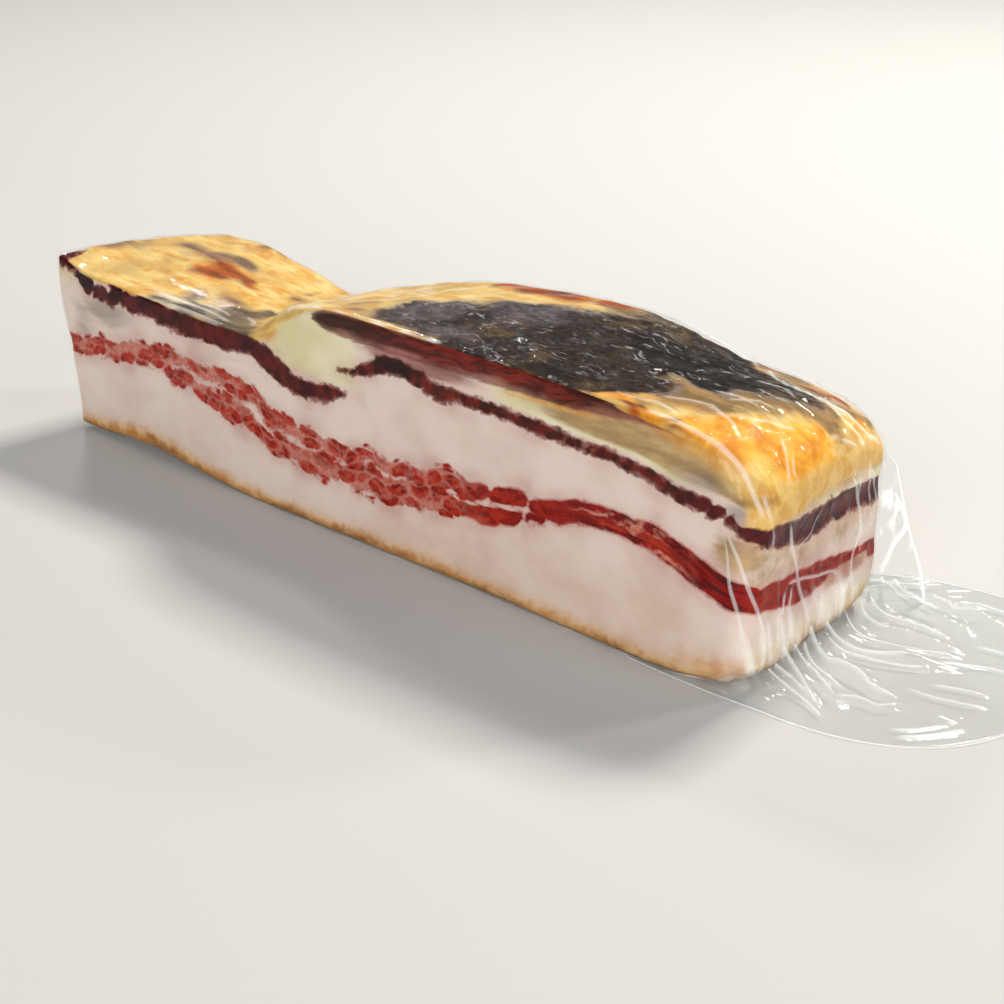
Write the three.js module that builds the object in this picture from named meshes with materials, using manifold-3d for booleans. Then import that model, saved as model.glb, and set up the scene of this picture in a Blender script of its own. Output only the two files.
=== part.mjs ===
// A bar of flat, slab-cured pork belly in a clear vacuum bag.
// Millimetres, +Z up. The origin is the middle of the flat underside. +X runs along the bar towards
// the free tail of the bag, and -Y is the cut face that shows every layer of fat and lean.

import * as THREE from 'three';
import { mergeVertices } from 'three/addons/utils/BufferGeometryUtils.js';
import Module from 'manifold-3d';

// Driving dimensions of the bar

const BAR_LENGTH = 260;
const BAR_WIDTH = 66;
const BOX_HEIGHT = 60;              // height of the plain box that the top and underside curves stretch

// Height of the top along the front edge and along the back edge, as [x, z]
const FRONT_TOP = [
  [-136, 58.4], [-128, 58.6], [-120, 56.2], [-108, 54.8], [-85, 54], [-60, 53.2], [-47, 53.8],
  [-40, 57.2], [-33, 63.2], [-26, 67], [-14, 68.6], [20, 68.8], [60, 68.6], [80, 67.8],
  [96, 66.6], [108, 65.6], [116, 64], [122, 61], [127, 56.6], [132, 50.6],
];
const BACK_TOP = [
  [-124, 53], [-108, 53.6], [-96, 51], [-82, 48.4], [-73, 46], [-66, 44.9], [-58, 47.4],
  [-46, 51.6], [-28, 56.8], [-12, 61], [4, 63.6], [20, 65.4], [36, 66.6], [52, 66.8], [64, 65.6],
  [76, 62.6], [88, 60.2], [101, 58.6], [114, 56.6], [124, 53.4], [132, 49.6],
];
const CROWN = [[-130, 2], [-60, 0.6], [-26, -1.6], [-4, 0.6], [30, 2.4], [90, 2.4], [116, 4], [132, 3]];
const UNDERSIDE = [[-136, 1.8], [-122, 1.4], [-105, 2.7], [-92, 2.9], [-78, 1.9], [-62, 0.7], [-50, 0]];

const VALLEY_X = -57;               // middle of the dip that crosses the top
const VALLEY_SLANT = 17;            // how much further left the dip is at the back than at the front
const VALLEY_REACH = 40;

const LEFT_LEAN = 5.8;              // how far the left end stands out at its top, in front
const LEFT_FOOT = 1.2;              // and at its foot
const LEFT_SKEW = 11;               // the left end is cut askew, its back edge further right
const RIGHT_LEAN = 2;
const END_REACH = 60;               // how far from an end its lean and skew die away
const FACE_REACH = 6;               // and the relief of its face
const SIDE_LEAN = 1;                // the cut faces lean in by this much at the top

const EDGE_RADIUS = 1.5;            // the knife's edges; the radii below are added to it
const NEAR_EDGE_RADIUS = 5.5;       // upright edge by the bag's tail, in front
const FAR_EDGE_RADIUS = 2.5;        // upright edge by the bag's tail, at the back
const ROLL_RADIUS = 3;              // the crust rolls over onto the right end
const FOOT_RADIUS = 3;              // foot of the right end
const SHOULDER_RADIUS = 2.4;        // back edge of the top
const FOLD_RADIUS = 4;              // the fold of fat at the left of the dome
const FOLD_X = -31;
const RADIUS_REACH = 13;            // how far along an edge such a rounding dies away

// Low relief: dents are { at, reach, depth } with at and reach along X and Y
const DOME_START = -34;
const DOME_END = 98;
const WRINKLE_HEIGHT = 0.8;
const DIMPLE_HEIGHT = 0.5;
const HOLLOW = { at: [-76, -20], reach: [24, 8], depth: 1.5 };
const PIT = { at: [-84, 8], reach: [12, 9], depth: 0.7 };
const RIM = 9;                      // the wrinkles fade out this far from the long edges
const FACE_WAVE = 0.5;              // the knife wandered by this much

// Low relief of the right end: heights are measured from the underside
const CREASE = { z: 44.5, reach: 1.6, depth: 1 };
const DARK_BAND = { z: 38, reach: 4, depth: 0.6 };
const BELLY = { z: 12, reach: 10, height: 1.2 };
const FOOT_DENTS = [{ y: 1, reach: 5, depth: 1.8 }, { y: 29, reach: 5, depth: 1.3 }];

// Driving dimensions of the bag's tail

const SHEET = 1.2;                  // the two films of the tail, with what air is left between them
const CLEARANCE = 0.35;             // gap between the bar and the tail
const TAIL_START = 96;
const TAIL_END = 187;
const CORNER_FULLNESS = 2.2;
const FRONT_CURVE_START = 135;      // here the front edge starts to turn into the near corner
const FRONT_CURVE_DEPTH = 43;
const TAIL_FRONT = [[96, -34.3], [120, -34.6], [135, -33.6]];
const TAIL_BACK = [[96, 34.6], [108, 37.5], [120, 46.5], [132, 53], [146, 57], [160, 59]];
const BACK_CURVE_START = 160;
const BACK_CURVE_DEPTH = 14;
const CLIMB = 6.5;                  // height to which the film climbs the foot of the bar
const CLIMB_REACH = 3.6;
const SCALLOP = 13;                 // spacing of the scallops where it climbs

// Pleats that fan out over the tail, from the bar's foot to where each dies away
const PLEATS = [
  { from: [116, -12], to: [152, -20], height: 3.4, width: 3 },
  { from: [122, -1], to: [164, -9], height: 3, width: 2.8 },
  { from: [127, 5], to: [168, 16], height: 2.6, width: 2.8 },
  { from: [129, 20], to: [166, 24], height: 2.4, width: 2.8 },
  { from: [128, 36], to: [164, 33], height: 3, width: 3 },
  { from: [137, 43], to: [172, 42], height: 2.4, width: 2.6 },
  { from: [150, -14], to: [180, -3], height: 1.4, width: 3.4 },
];

// The gusset is a stiff fold of film that stands on the tail at the far right edge of the bar.
// Its outline is [distance from the bar's edge, height].
const GUSSET_CORNER = [129, 32.5];
const GUSSET_TURN = THREE.MathUtils.degToRad(45);
const GUSSET_OUTLINE = [
  [-3, 0.3], [14.9, 0.3], [12.5, 9.9], [10.1, 16.4], [7.3, 24], [5.5, 30.3], [3.2, 38.5],
  [1.6, 44], [-1, 46.5], [-3, 46.5],
];

const BAR_CELLS = [62, 14, 13];
const TAIL_CELLS = [36, 33, 1];

const clamp = THREE.MathUtils.clamp;
const lerp = THREE.MathUtils.lerp;
const smooth = THREE.MathUtils.smoothstep;
const bump = (value) => Math.exp(-value * value);

// A smooth curve through [x, value] points, level beyond its ends
function along(points, x) {
  const last = points.length - 1;
  if (x <= points[0][0]) return points[0][1];
  if (x >= points[last][0]) return points[last][1];
  const i = points.findIndex((point) => point[0] > x) - 1;
  const slope = (k) => {
    const before = points[Math.max(k - 1, 0)];
    const after = points[Math.min(k + 1, last)];
    return (after[1] - before[1]) / (after[0] - before[0]);
  };
  const span = points[i + 1][0] - points[i][0];
  const t = (x - points[i][0]) / span;
  const blend = t * t * (3 - 2 * t);
  const bend = t * (1 - t) * span * (slope(i) * (1 - t) - slope(i + 1) * t);
  return lerp(points[i][1], points[i + 1][1], blend) + bend;
}

// Height of the top at a place, s running from 0 at the front to 1 at the back
function topHeight(x, s) {
  const slant = VALLEY_SLANT * bump((x - VALLEY_X) / VALLEY_REACH);
  const front = along(FRONT_TOP, x + slant * s);
  const back = along(BACK_TOP, x - slant * (1 - s));
  return lerp(front, back, s) + 4 * s * (1 - s) * along(CROWN, x);
}

// Low wrinkles and dents of the dried crust
function crustRelief(x, y) {
  const dome = smooth(x, DOME_START - 14, DOME_START + 14) * (1 - smooth(x, DOME_END - 14, DOME_END + 14));
  const wrinkle = Math.sin(0.36 * x + 2.1 * Math.sin(0.11 * y + 0.04 * x)) * Math.sin(0.29 * y - 0.07 * x);
  const dimple = Math.sin(0.17 * x - 0.23 * y + 1.3) * Math.sin(0.13 * x + 0.31 * y);
  const inside = 1 - smooth(Math.abs(y), BAR_WIDTH / 2 - RIM, BAR_WIDTH / 2);
  const dents = [HOLLOW, PIT].map((dent) => (
    dent.depth * bump((x - dent.at[0]) / dent.reach[0]) * bump((y - dent.at[1]) / dent.reach[1])
  ));
  return inside * (dome * WRINKLE_HEIGHT * wrinkle + DIMPLE_HEIGHT * dimple) - dents[0] - dents[1];
}

// Radius of the rounding at a place on the plain box
function edgeRadius(x, y, z) {
  const right = bump((x - BAR_LENGTH / 2) / RADIUS_REACH);
  const front = bump((y + BAR_WIDTH / 2) / RADIUS_REACH);
  const back = bump((y - BAR_WIDTH / 2) / RADIUS_REACH);
  const top = bump((z - BOX_HEIGHT) / RADIUS_REACH);
  const foot = bump(z / RADIUS_REACH);
  const fold = bump((x - FOLD_X) / RADIUS_REACH);
  return EDGE_RADIUS
    + right * (NEAR_EDGE_RADIUS * front + FAR_EDGE_RADIUS * back + ROLL_RADIUS * top + FOOT_RADIUS * foot)
    + top * (SHOULDER_RADIUS * back * (1 - right) + FOLD_RADIUS * fold * front);
}

// How far the right end stands out: a crease under the crust, a shrunken dark band, lobes at the foot
function rightEndRelief(y, z) {
  const middle = smooth(y, -14, -4) * (1 - smooth(y, 18, 26));
  const crease = CREASE.depth * middle * bump((z - CREASE.z) / CREASE.reach);
  const band = DARK_BAND.depth * bump((z - DARK_BAND.z) / DARK_BAND.reach);
  const belly = BELLY.height * bump((z - BELLY.z) / BELLY.reach);
  const dents = FOOT_DENTS.map((dent) => dent.depth * bump((y - dent.y) / dent.reach) * bump(z / dent.reach));
  return belly - crease - band - dents[0] - dents[1];
}

// A point of the bar from a point of the cube from -1 to 1, with room added all round by grow
function barPoint(u, v, w, grow) {
  const half = [BAR_LENGTH / 2, BAR_WIDTH / 2, BOX_HEIGHT / 2];
  const box = [u * half[0], v * half[1], w * half[2]];
  const radius = edgeRadius(box[0], box[1], box[2] + half[2]);
  const inner = box.map((value, axis) => clamp(value, radius - half[axis], half[axis] - radius));
  const out = box.map((value, axis) => value - inner[axis]);
  const reach = Math.hypot(...out) || 1;
  const [x0, y0, z0] = inner.map((value, axis) => value + (out[axis] * (radius + grow)) / reach);
  const s = clamp(y0 / BAR_WIDTH + 0.5, 0, 1);
  const h = (z0 + half[2]) / BOX_HEIGHT;
  const nearLeft = bump((x0 + half[0]) / END_REACH);
  const nearRight = bump((x0 - half[0]) / END_REACH);
  const faceLeft = bump((x0 + half[0]) / FACE_REACH);
  const faceRight = bump((x0 - half[0]) / FACE_REACH);

  const ceiling = topHeight(x0, s);
  const onTop = smooth(w, 0.4, 1);
  const floor = along(UNDERSIDE, x0);
  const z = lerp(floor, ceiling, h) + onTop * crustRelief(x0, y0);

  const lean = (SIDE_LEAN * z) / BOX_HEIGHT;
  const wave = FACE_WAVE * Math.sin(x0 / 23) * Math.sin(z / 17 + 1);
  const y = y0 + lerp(lean + wave, wave - lean, s);

  const leftShift = nearLeft * (LEFT_SKEW * s - lerp(LEFT_FOOT, LEFT_LEAN, smooth(z, 10, 50)));
  const rightShift = nearRight * RIGHT_LEAN * (z / 50 - 1);
  const ends = faceRight * rightEndRelief(y, z) + faceLeft * FACE_WAVE * Math.sin(z / 4) * Math.sin(y / 9);
  return [x0 + leftShift + rightShift + ends, y, z];
}

// The six faces of a cube, cut into cells and moved point by point, as one closed mesh
function movedCube(cells, move) {
  const cube = new THREE.BoxGeometry(2, 2, 2, ...cells);
  const place = cube.attributes.position;
  for (let i = 0; i < place.count; i += 1) {
    place.setXYZ(i, ...move(place.getX(i), place.getY(i), place.getZ(i)));
  }
  cube.deleteAttribute('normal');
  cube.deleteAttribute('uv');
  return mergeVertices(cube, 1e-4);
}

// Moves even cell lines towards both ends of a side, where the surface turns a corner
function crowd(value, share) {
  return (1 - share) * value + share * Math.sin((value * Math.PI) / 2);
}

function barGeometry(grow) {
  return movedCube(BAR_CELLS, (u, v, w) => barPoint(crowd(u, 0.55), crowd(v, 0.85), crowd(w, 0.8), grow));
}

// A rounded corner, a little fuller than a quarter of an ellipse: 0 at its start and depth at its end
function corner(x, start, end, depth) {
  const t = clamp((x - start) / (end - start), 0, 1);
  return depth * (1 - (1 - t ** CORNER_FULLNESS) ** (1 / CORNER_FULLNESS));
}

function tailFront(x) {
  return along(TAIL_FRONT, x) + corner(x, FRONT_CURVE_START, TAIL_END, FRONT_CURVE_DEPTH);
}

function tailBack(x) {
  return along(TAIL_BACK, x) - corner(x, BACK_CURVE_START, TAIL_END, BACK_CURVE_DEPTH);
}

// Height of one pleat at a place: a soft ridge that tapers to nothing at its far end
function pleatHeight(pleat, x, y) {
  const [x0, y0] = pleat.from;
  const run = [pleat.to[0] - x0, pleat.to[1] - y0];
  const length = Math.hypot(...run);
  const t = ((x - x0) * run[0] + (y - y0) * run[1]) / (length * length);
  const away = ((x - x0) * run[1] - (y - y0) * run[0]) / length;
  const taper = smooth(t, -0.12, 0.05) * (1 - smooth(t, 0.55, 1.05));
  return pleat.height * taper * bump(away / pleat.width);
}

// Height of the tail's upper face
function tailHeight(x, y) {
  const past = Math.hypot(Math.max(x - BAR_LENGTH / 2, 0), Math.max(Math.abs(y) - BAR_WIDTH / 2, 0));
  const scallop = 0.8 + 0.2 * Math.cos((2 * Math.PI * y) / SCALLOP + 1);
  const climb = CLIMB * scallop * Math.exp(-past / CLIMB_REACH) * smooth(x, 112, 130);
  const ridges = PLEATS.map((pleat) => pleatHeight(pleat, x, y));
  return SHEET + climb + Math.max(...ridges);
}

function tailGeometry() {
  return movedCube(TAIL_CELLS, (u, v, w) => {
    const t = (u + 1) / 2;
    const crowded = lerp(t, Math.sin((t * Math.PI) / 2), 0.8);
    const x = lerp(TAIL_START, TAIL_END, crowded);
    const y = lerp(tailFront(x), tailBack(x), (v + 1) / 2);
    return [x, y, w > 0 ? tailHeight(x, y) : 0];
  });
}

function gussetGeometry() {
  const outline = new THREE.Shape(GUSSET_OUTLINE.map(([away, height]) => new THREE.Vector2(away, height)));
  const sheet = new THREE.ExtrudeGeometry(outline, { depth: SHEET, bevelEnabled: false });
  sheet.translate(0, 0, -SHEET / 2);
  sheet.rotateX(Math.PI / 2);
  sheet.rotateZ(GUSSET_TURN);
  sheet.translate(...GUSSET_CORNER, 0);
  sheet.deleteAttribute('normal');
  sheet.deleteAttribute('uv');
  return mergeVertices(sheet, 1e-4);
}

// The tail and its gusset are joined, and the room that the bar takes is cut out of them

const wasm = await Module();
wasm.setup();

function toSolid(geometry) {
  const vertProperties = Float32Array.from(geometry.attributes.position.array);
  const triVerts = Uint32Array.from(geometry.index.array);
  return new wasm.Manifold(new wasm.Mesh({ numProp: 3, vertProperties, triVerts }));
}

function toGeometry(solid) {
  const mesh = solid.getMesh();
  const geometry = new THREE.BufferGeometry();
  geometry.setAttribute('position', new THREE.BufferAttribute(mesh.vertProperties, 3));
  geometry.setIndex(new THREE.BufferAttribute(mesh.triVerts, 1));
  return geometry;
}

function largestPart(solid) {
  return solid.decompose().reduce((best, part) => (part.volume() > best.volume() ? part : best));
}

function bagTailGeometry() {
  const film = toSolid(tailGeometry()).add(toSolid(gussetGeometry()));
  return toGeometry(largestPart(film.subtract(toSolid(barGeometry(CLEARANCE)))));
}

const curedPork = new THREE.MeshStandardMaterial({ color: 0xe1cdc3, roughness: 0.45, metalness: 0 });
const clearFilm = new THREE.MeshStandardMaterial({
  color: 0xe8ecec, roughness: 0.12, metalness: 0, transparent: true, opacity: 0.35,
});

const slab = new THREE.Mesh(barGeometry(0), curedPork);
slab.name = 'pancetta_slab';

const tail = new THREE.Mesh(bagTailGeometry(), clearFilm);
tail.name = 'bag_tail';

const pack = new THREE.Group();
pack.add(slab, tail);

export default pack;
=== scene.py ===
# %% [markdown]
# # A vacuum-packed bar of pancetta
#
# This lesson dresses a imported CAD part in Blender. The real object is a bar cut from a flat, slab-cured
# pork belly, sealed in a clear bag. Two pieces carry the looks: the pork, with its layers of fat and
# lean, its dried crust and its rind, and the film, which clings to the bar and runs out in a pleated
# tail at one end. The CAD part gives both their size and place, so the first step is to load it.

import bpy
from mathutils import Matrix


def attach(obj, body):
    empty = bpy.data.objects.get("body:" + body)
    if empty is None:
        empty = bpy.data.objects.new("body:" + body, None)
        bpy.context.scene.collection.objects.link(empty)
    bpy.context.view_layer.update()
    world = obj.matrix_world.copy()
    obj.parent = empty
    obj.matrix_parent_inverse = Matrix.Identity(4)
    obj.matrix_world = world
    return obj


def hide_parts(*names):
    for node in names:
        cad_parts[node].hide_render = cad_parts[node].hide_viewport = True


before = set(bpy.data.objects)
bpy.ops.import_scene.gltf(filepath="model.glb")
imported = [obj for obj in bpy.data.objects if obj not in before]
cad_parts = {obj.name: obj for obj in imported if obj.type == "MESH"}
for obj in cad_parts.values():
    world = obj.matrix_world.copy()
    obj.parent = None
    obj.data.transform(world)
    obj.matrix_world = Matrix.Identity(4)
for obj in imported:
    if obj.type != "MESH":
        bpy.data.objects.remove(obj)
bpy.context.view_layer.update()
print("nodes of the part:", sorted(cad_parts))

# %% The other modules
import math

import bpy
import numpy as np
from mathutils import Matrix, Vector, noise

MM = 0.001                          # one millimetre in Blender's metres

# %% [markdown]
# ## The camera
#
# The picture was taken from above the bar's near right edge with a fairly long lens. The camera's place
# was worked out from the bar's straight edges, so the render lies over the picture. Yaw turns it round
# the bar, pitch lifts it above the table, and roll is the small tilt of the horizon.

# %% Place the camera
PHOTO_WIDTH = 1004                  # pixels
FOCAL_PIXELS = 1700                 # focal length in the same pixels
SENSOR = 36                         # mm
YAW = math.radians(39.97)
PITCH = math.radians(25.95)
ROLL = math.radians(0.35)
DISTANCE = 514.3 * MM
AIM_RIGHT = 18.97 * MM              # how far the aim is from the origin, along the picture's sides
AIM_UP = 1.42 * MM

away = Vector((math.sin(YAW) * math.cos(PITCH), -math.cos(YAW) * math.cos(PITCH), math.sin(PITCH)))
level_right = (-away).cross(Vector((0, 0, 1))).normalized()
level_up = level_right.cross(-away)
aim = level_right * AIM_RIGHT + level_up * AIM_UP
camera_right = math.cos(ROLL) * level_right + math.sin(ROLL) * level_up
camera_up = math.cos(ROLL) * level_up - math.sin(ROLL) * level_right

lens = bpy.data.cameras.new("camera")
lens.sensor_width = SENSOR
lens.lens = SENSOR * FOCAL_PIXELS / PHOTO_WIDTH
camera = bpy.data.objects.new("camera", lens)
camera.matrix_world = Matrix.LocRotScale(
    aim + away * DISTANCE, Matrix((camera_right, camera_up, away)).transposed().to_quaternion(), None
)
bpy.context.scene.collection.objects.link(camera)
bpy.context.scene.camera = camera
print("camera at", [round(v, 3) for v in camera.matrix_world.translation], "lens", round(lens.lens, 1), "mm")

# %% [markdown]
# ## Colour and nodes
#
# Colours are written as the hex numbers that a paint program shows. Those are sRGB, and Blender's
# shaders count in linear light, so one function turns one into the other. A second small function adds
# a node, sets it up and links its inputs, which keeps the materials short.

# %% Two helpers for materials
def linear(hex_colour):
    """An sRGB hex colour as linear red, green, blue and an alpha of 1."""
    parts = [int(hex_colour[i : i + 2], 16) / 255 for i in (0, 2, 4)]
    return [p / 12.92 if p <= 0.04045 else ((p + 0.055) / 1.055) ** 2.4 for p in parts] + [1]


def add_node(tree, kind, inputs=None, **settings):
    """Adds a node, sets it up, and gives each named input a value or a link."""
    node = tree.nodes.new(kind)
    for name, value in settings.items():
        setattr(node, name, value)
    for name, value in (inputs or {}).items():
        if isinstance(value, bpy.types.NodeSocket):
            tree.links.new(value, node.inputs[name])
        else:
            node.inputs[name].default_value = value
    return node


def new_material(name):
    """An empty material and its node tree."""
    material = bpy.data.materials.new(name)
    material.use_nodes = True
    material.node_tree.nodes.clear()
    return material, material.node_tree


print("fat white in linear light:", [round(v, 3) for v in linear("E6D3C8")[:3]])

# %% [markdown]
# ## The studio
#
# A plain pale floor and three soft lamps. The big lamp stands behind and above the bar, which lights its
# top more than its cut face and draws the crisp glints on the film. A wide one in front fills the cut
# face, and a narrow strip at the right picks out the folds at the end. The floor is a smooth sweep that
# turns up behind, so no horizon shows.

# %% Floor
def show(name, points, faces, material, smooth=True):
    """A mesh object from points in metres and faces, in the scene."""
    mesh = bpy.data.meshes.new(name)
    mesh.from_pydata([tuple(p) for p in points], [], [tuple(f) for f in faces])
    mesh.materials.append(material)
    mesh.polygons.foreach_set("use_smooth", [smooth] * len(mesh.polygons))
    mesh.update()
    piece = bpy.data.objects.new(name, mesh)
    bpy.context.scene.collection.objects.link(piece)
    return piece


SWEEP_REACH = 3.2                   # metres from the middle to the floor's edge
SWEEP_RADIUS = 0.9
FLOOR_LEVEL = -0.06 * MM            # just under the film that the bar lies on

paint, tree = new_material("matt_studio_paint")
shade = add_node(tree, "ShaderNodeBsdfPrincipled", {
    "Base Color": linear("C8C8C6"), "Roughness": 0.85, "Specular IOR Level": 0.2,
})
add_node(tree, "ShaderNodeOutputMaterial", {"Surface": shade.outputs[0]})

floor_points = []
steps = [0, 0.15, 0.4, 0.7, 1]
for ring in steps:
    turn = ring * math.pi / 2
    rise = SWEEP_RADIUS * (1 - math.cos(turn))
    reach = SWEEP_REACH - SWEEP_RADIUS * (1 - math.sin(turn))
    for k in range(48):
        angle = k * math.pi / 24
        floor_points.append((reach * math.cos(angle), reach * math.sin(angle), FLOOR_LEVEL + rise))
floor_faces = [tuple(range(48))]
for ring in range(len(steps) - 1):
    for k in range(48):
        a, b = ring * 48 + k, ring * 48 + (k + 1) % 48
        floor_faces.append((b, a, a + 48, b + 48))
floor = show("floor", floor_points, floor_faces, paint)
print("floor faces:", len(floor_faces))

# %% Lamps and the room's own light
LAMPS = [
    # name, place in metres, side lengths, watts, colour
    ("key_above_behind", (0.05, 0.87, 1.14), (0.36, 0.28), 19, "FFF6EA"),
    ("fill_in_front", (0.75, -1.4, 0.6), (1.3, 0.9), 19, "FFFFFF"),
    ("strip_at_right", (1.3, 0.15, 0.6), (0.5, 0.9), 3.5, "FFFFFF"),
    ("spark_at_left", (-0.95, 0.55, 1.0), (0.14, 0.14), 4.2, "FFFFFF"),
    ("spark_at_right", (0.6, 0.87, 0.56), (0.14, 0.14), 3, "FFFFFF"),
]
for name, place, sides, watts, colour in LAMPS:
    light = bpy.data.lights.new(name, "AREA")
    light.shape = "RECTANGLE"
    light.size, light.size_y = sides
    light.energy = watts
    light.color = linear(colour)[:3]
    lamp = bpy.data.objects.new(name, light)
    lamp.location = place
    lamp.rotation_euler = (Vector(place) - Vector((0, 0, 0.03))).to_track_quat("Z", "Y").to_euler()
    bpy.context.scene.collection.objects.link(lamp)

world = bpy.data.worlds.new("room")
world.use_nodes = True
sky = world.node_tree.nodes["Background"]
sky.inputs["Color"].default_value = linear("F2F4F6")
sky.inputs["Strength"].default_value = 0.24
bpy.context.scene.world = world
bpy.context.scene.view_settings.view_transform = "Standard"
print("lamps:", len(LAMPS))

# %% [markdown]
# ## The shape of the bar
#
# The bar is a box that has sagged, been pressed and been cut by hand: its top dips and then swells into
# a dome, its left end leans, and its right end is rounded where the bag pulls it tight. All of that is
# worked out from a few named sizes, the same ones that the CAD part uses. First come the small
# functions that draw smooth curves, then the curves themselves, all in millimetres.

# %% Smooth curves
def mix(a, b, share):
    return a + (b - a) * share


def smooth_step(value, low, high):
    t = np.clip((value - low) / (high - low), 0, 1)
    return t * t * (3 - 2 * t)


def bump(value):
    """1 at zero, falling away smoothly on both sides."""
    return np.exp(-np.square(value))


def along(points, x):
    """A smooth curve through (x, value) points, level beyond its ends."""
    xs, values = np.array(points, float).T
    x = np.clip(x, xs[0], xs[-1])
    slopes = np.empty_like(xs)
    slopes[1:-1] = (values[2:] - values[:-2]) / (xs[2:] - xs[:-2])
    slopes[0] = (values[1] - values[0]) / (xs[1] - xs[0])
    slopes[-1] = (values[-1] - values[-2]) / (xs[-1] - xs[-2])
    i = np.clip(np.searchsorted(xs, x, side="right") - 1, 0, len(xs) - 2)
    span = xs[i + 1] - xs[i]
    t = (x - xs[i]) / span
    bend = t * (1 - t) * span * (slopes[i] * (1 - t) - slopes[i + 1] * t)
    return mix(values[i], values[i + 1], t * t * (3 - 2 * t)) + bend


print("halfway up a smooth step:", smooth_step(0.5, 0, 1))

# %% The bar's driving sizes
BAR_LENGTH, BAR_WIDTH, BOX_HEIGHT = 260, 66, 60
# Height of the top along the front edge and along the back edge
FRONT_TOP = [
    (-136, 58.4), (-128, 58.6), (-120, 56.2), (-108, 54.8), (-85, 54), (-60, 53.2), (-47, 53.8),
    (-40, 57.2), (-33, 63.2), (-26, 67), (-14, 68.6), (20, 68.8), (60, 68.6), (80, 67.8),
    (96, 66.6), (108, 65.6), (116, 64), (122, 61), (127, 56.6), (132, 50.6),
]
BACK_TOP = [
    (-124, 53), (-108, 53.6), (-96, 51), (-82, 48.4), (-73, 46), (-66, 44.9), (-58, 47.4),
    (-46, 51.6), (-28, 56.8), (-12, 61), (4, 63.6), (20, 65.4), (36, 66.6), (52, 66.8), (64, 65.6),
    (76, 62.6), (88, 60.2), (101, 58.6), (114, 56.6), (124, 53.4), (132, 49.6),
]
CROWN = [(-130, 2), (-60, 0.6), (-26, -1.6), (-4, 0.6), (30, 2.4), (90, 2.4), (116, 4), (132, 3)]
UNDERSIDE = [(-136, 1.8), (-122, 1.4), (-105, 2.7), (-92, 2.9), (-78, 1.9), (-62, 0.7), (-50, 0)]
VALLEY_X, VALLEY_SLANT, VALLEY_REACH = -57, 17, 40
LEFT_LEAN, LEFT_FOOT, LEFT_SKEW, RIGHT_LEAN = 5.8, 1.2, 11, 2
END_REACH, FACE_REACH, SIDE_LEAN, FACE_WAVE = 60, 6, 1, 0.5
EDGE_RADIUS, NEAR_EDGE, FAR_EDGE, ROLL_OVER, FOOT_RADIUS, SHOULDER, FOLD = 1.5, 5.5, 2.5, 3, 3, 2.4, 4
FOLD_X, RADIUS_REACH = -31, 13


def top_height(x, s):
    """Height of the top, s running from 0 at the front to 1 at the back."""
    slant = VALLEY_SLANT * bump((x - VALLEY_X) / VALLEY_REACH)
    front = along(FRONT_TOP, x + slant * s)
    back = along(BACK_TOP, x - slant * (1 - s))
    return mix(front, back, s) + 4 * s * (1 - s) * along(CROWN, x)


def crust_relief(x, y):
    """The low wrinkles, the hollow and the pit of the crust, as in the CAD part."""
    dome = smooth_step(x, -48, -20) * (1 - smooth_step(x, 84, 112))
    wrinkle = np.sin(0.36 * x + 2.1 * np.sin(0.11 * y + 0.04 * x)) * np.sin(0.29 * y - 0.07 * x)
    dimple = np.sin(0.17 * x - 0.23 * y + 1.3) * np.sin(0.13 * x + 0.31 * y)
    inside = 1 - smooth_step(abs(y), 24, 33)
    hollow = 1.5 * bump((x + 76) / 24) * bump((y + 20) / 8)
    pit = 0.7 * bump((x + 84) / 12) * bump((y - 8) / 9)
    return inside * (0.45 * dome * wrinkle + 0.2 * dimple) - hollow - pit


def edge_radius(x, y, z):
    """Radius of the rounding at a place on the plain box."""
    right = bump((x - BAR_LENGTH / 2) / RADIUS_REACH)
    front = bump((y + BAR_WIDTH / 2) / RADIUS_REACH)
    back = bump((y - BAR_WIDTH / 2) / RADIUS_REACH)
    top = bump((z - BOX_HEIGHT) / RADIUS_REACH)
    foot = bump(z / RADIUS_REACH)
    fold = bump((x - FOLD_X) / RADIUS_REACH)
    at_right = NEAR_EDGE * front + FAR_EDGE * back + ROLL_OVER * top + FOOT_RADIUS * foot
    return EDGE_RADIUS + right * at_right + top * (SHOULDER * back * (1 - right) + FOLD * fold * front)


def right_end_relief(y, z):
    """A crease under the crust, a shrunken dark band and lobes at the foot."""
    middle = smooth_step(y, -14, -4) * (1 - smooth_step(y, 18, 26))
    crease = middle * bump((z - 44.5) / 1.6)
    band = 0.6 * bump((z - 38) / 4)
    belly = 1.2 * bump((z - 12) / 10)
    dents = 1.8 * bump((y - 1) / 5) * bump(z / 5) + 1.3 * bump((y - 29) / 5) * bump(z / 5)
    return belly - crease - band - dents


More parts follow.
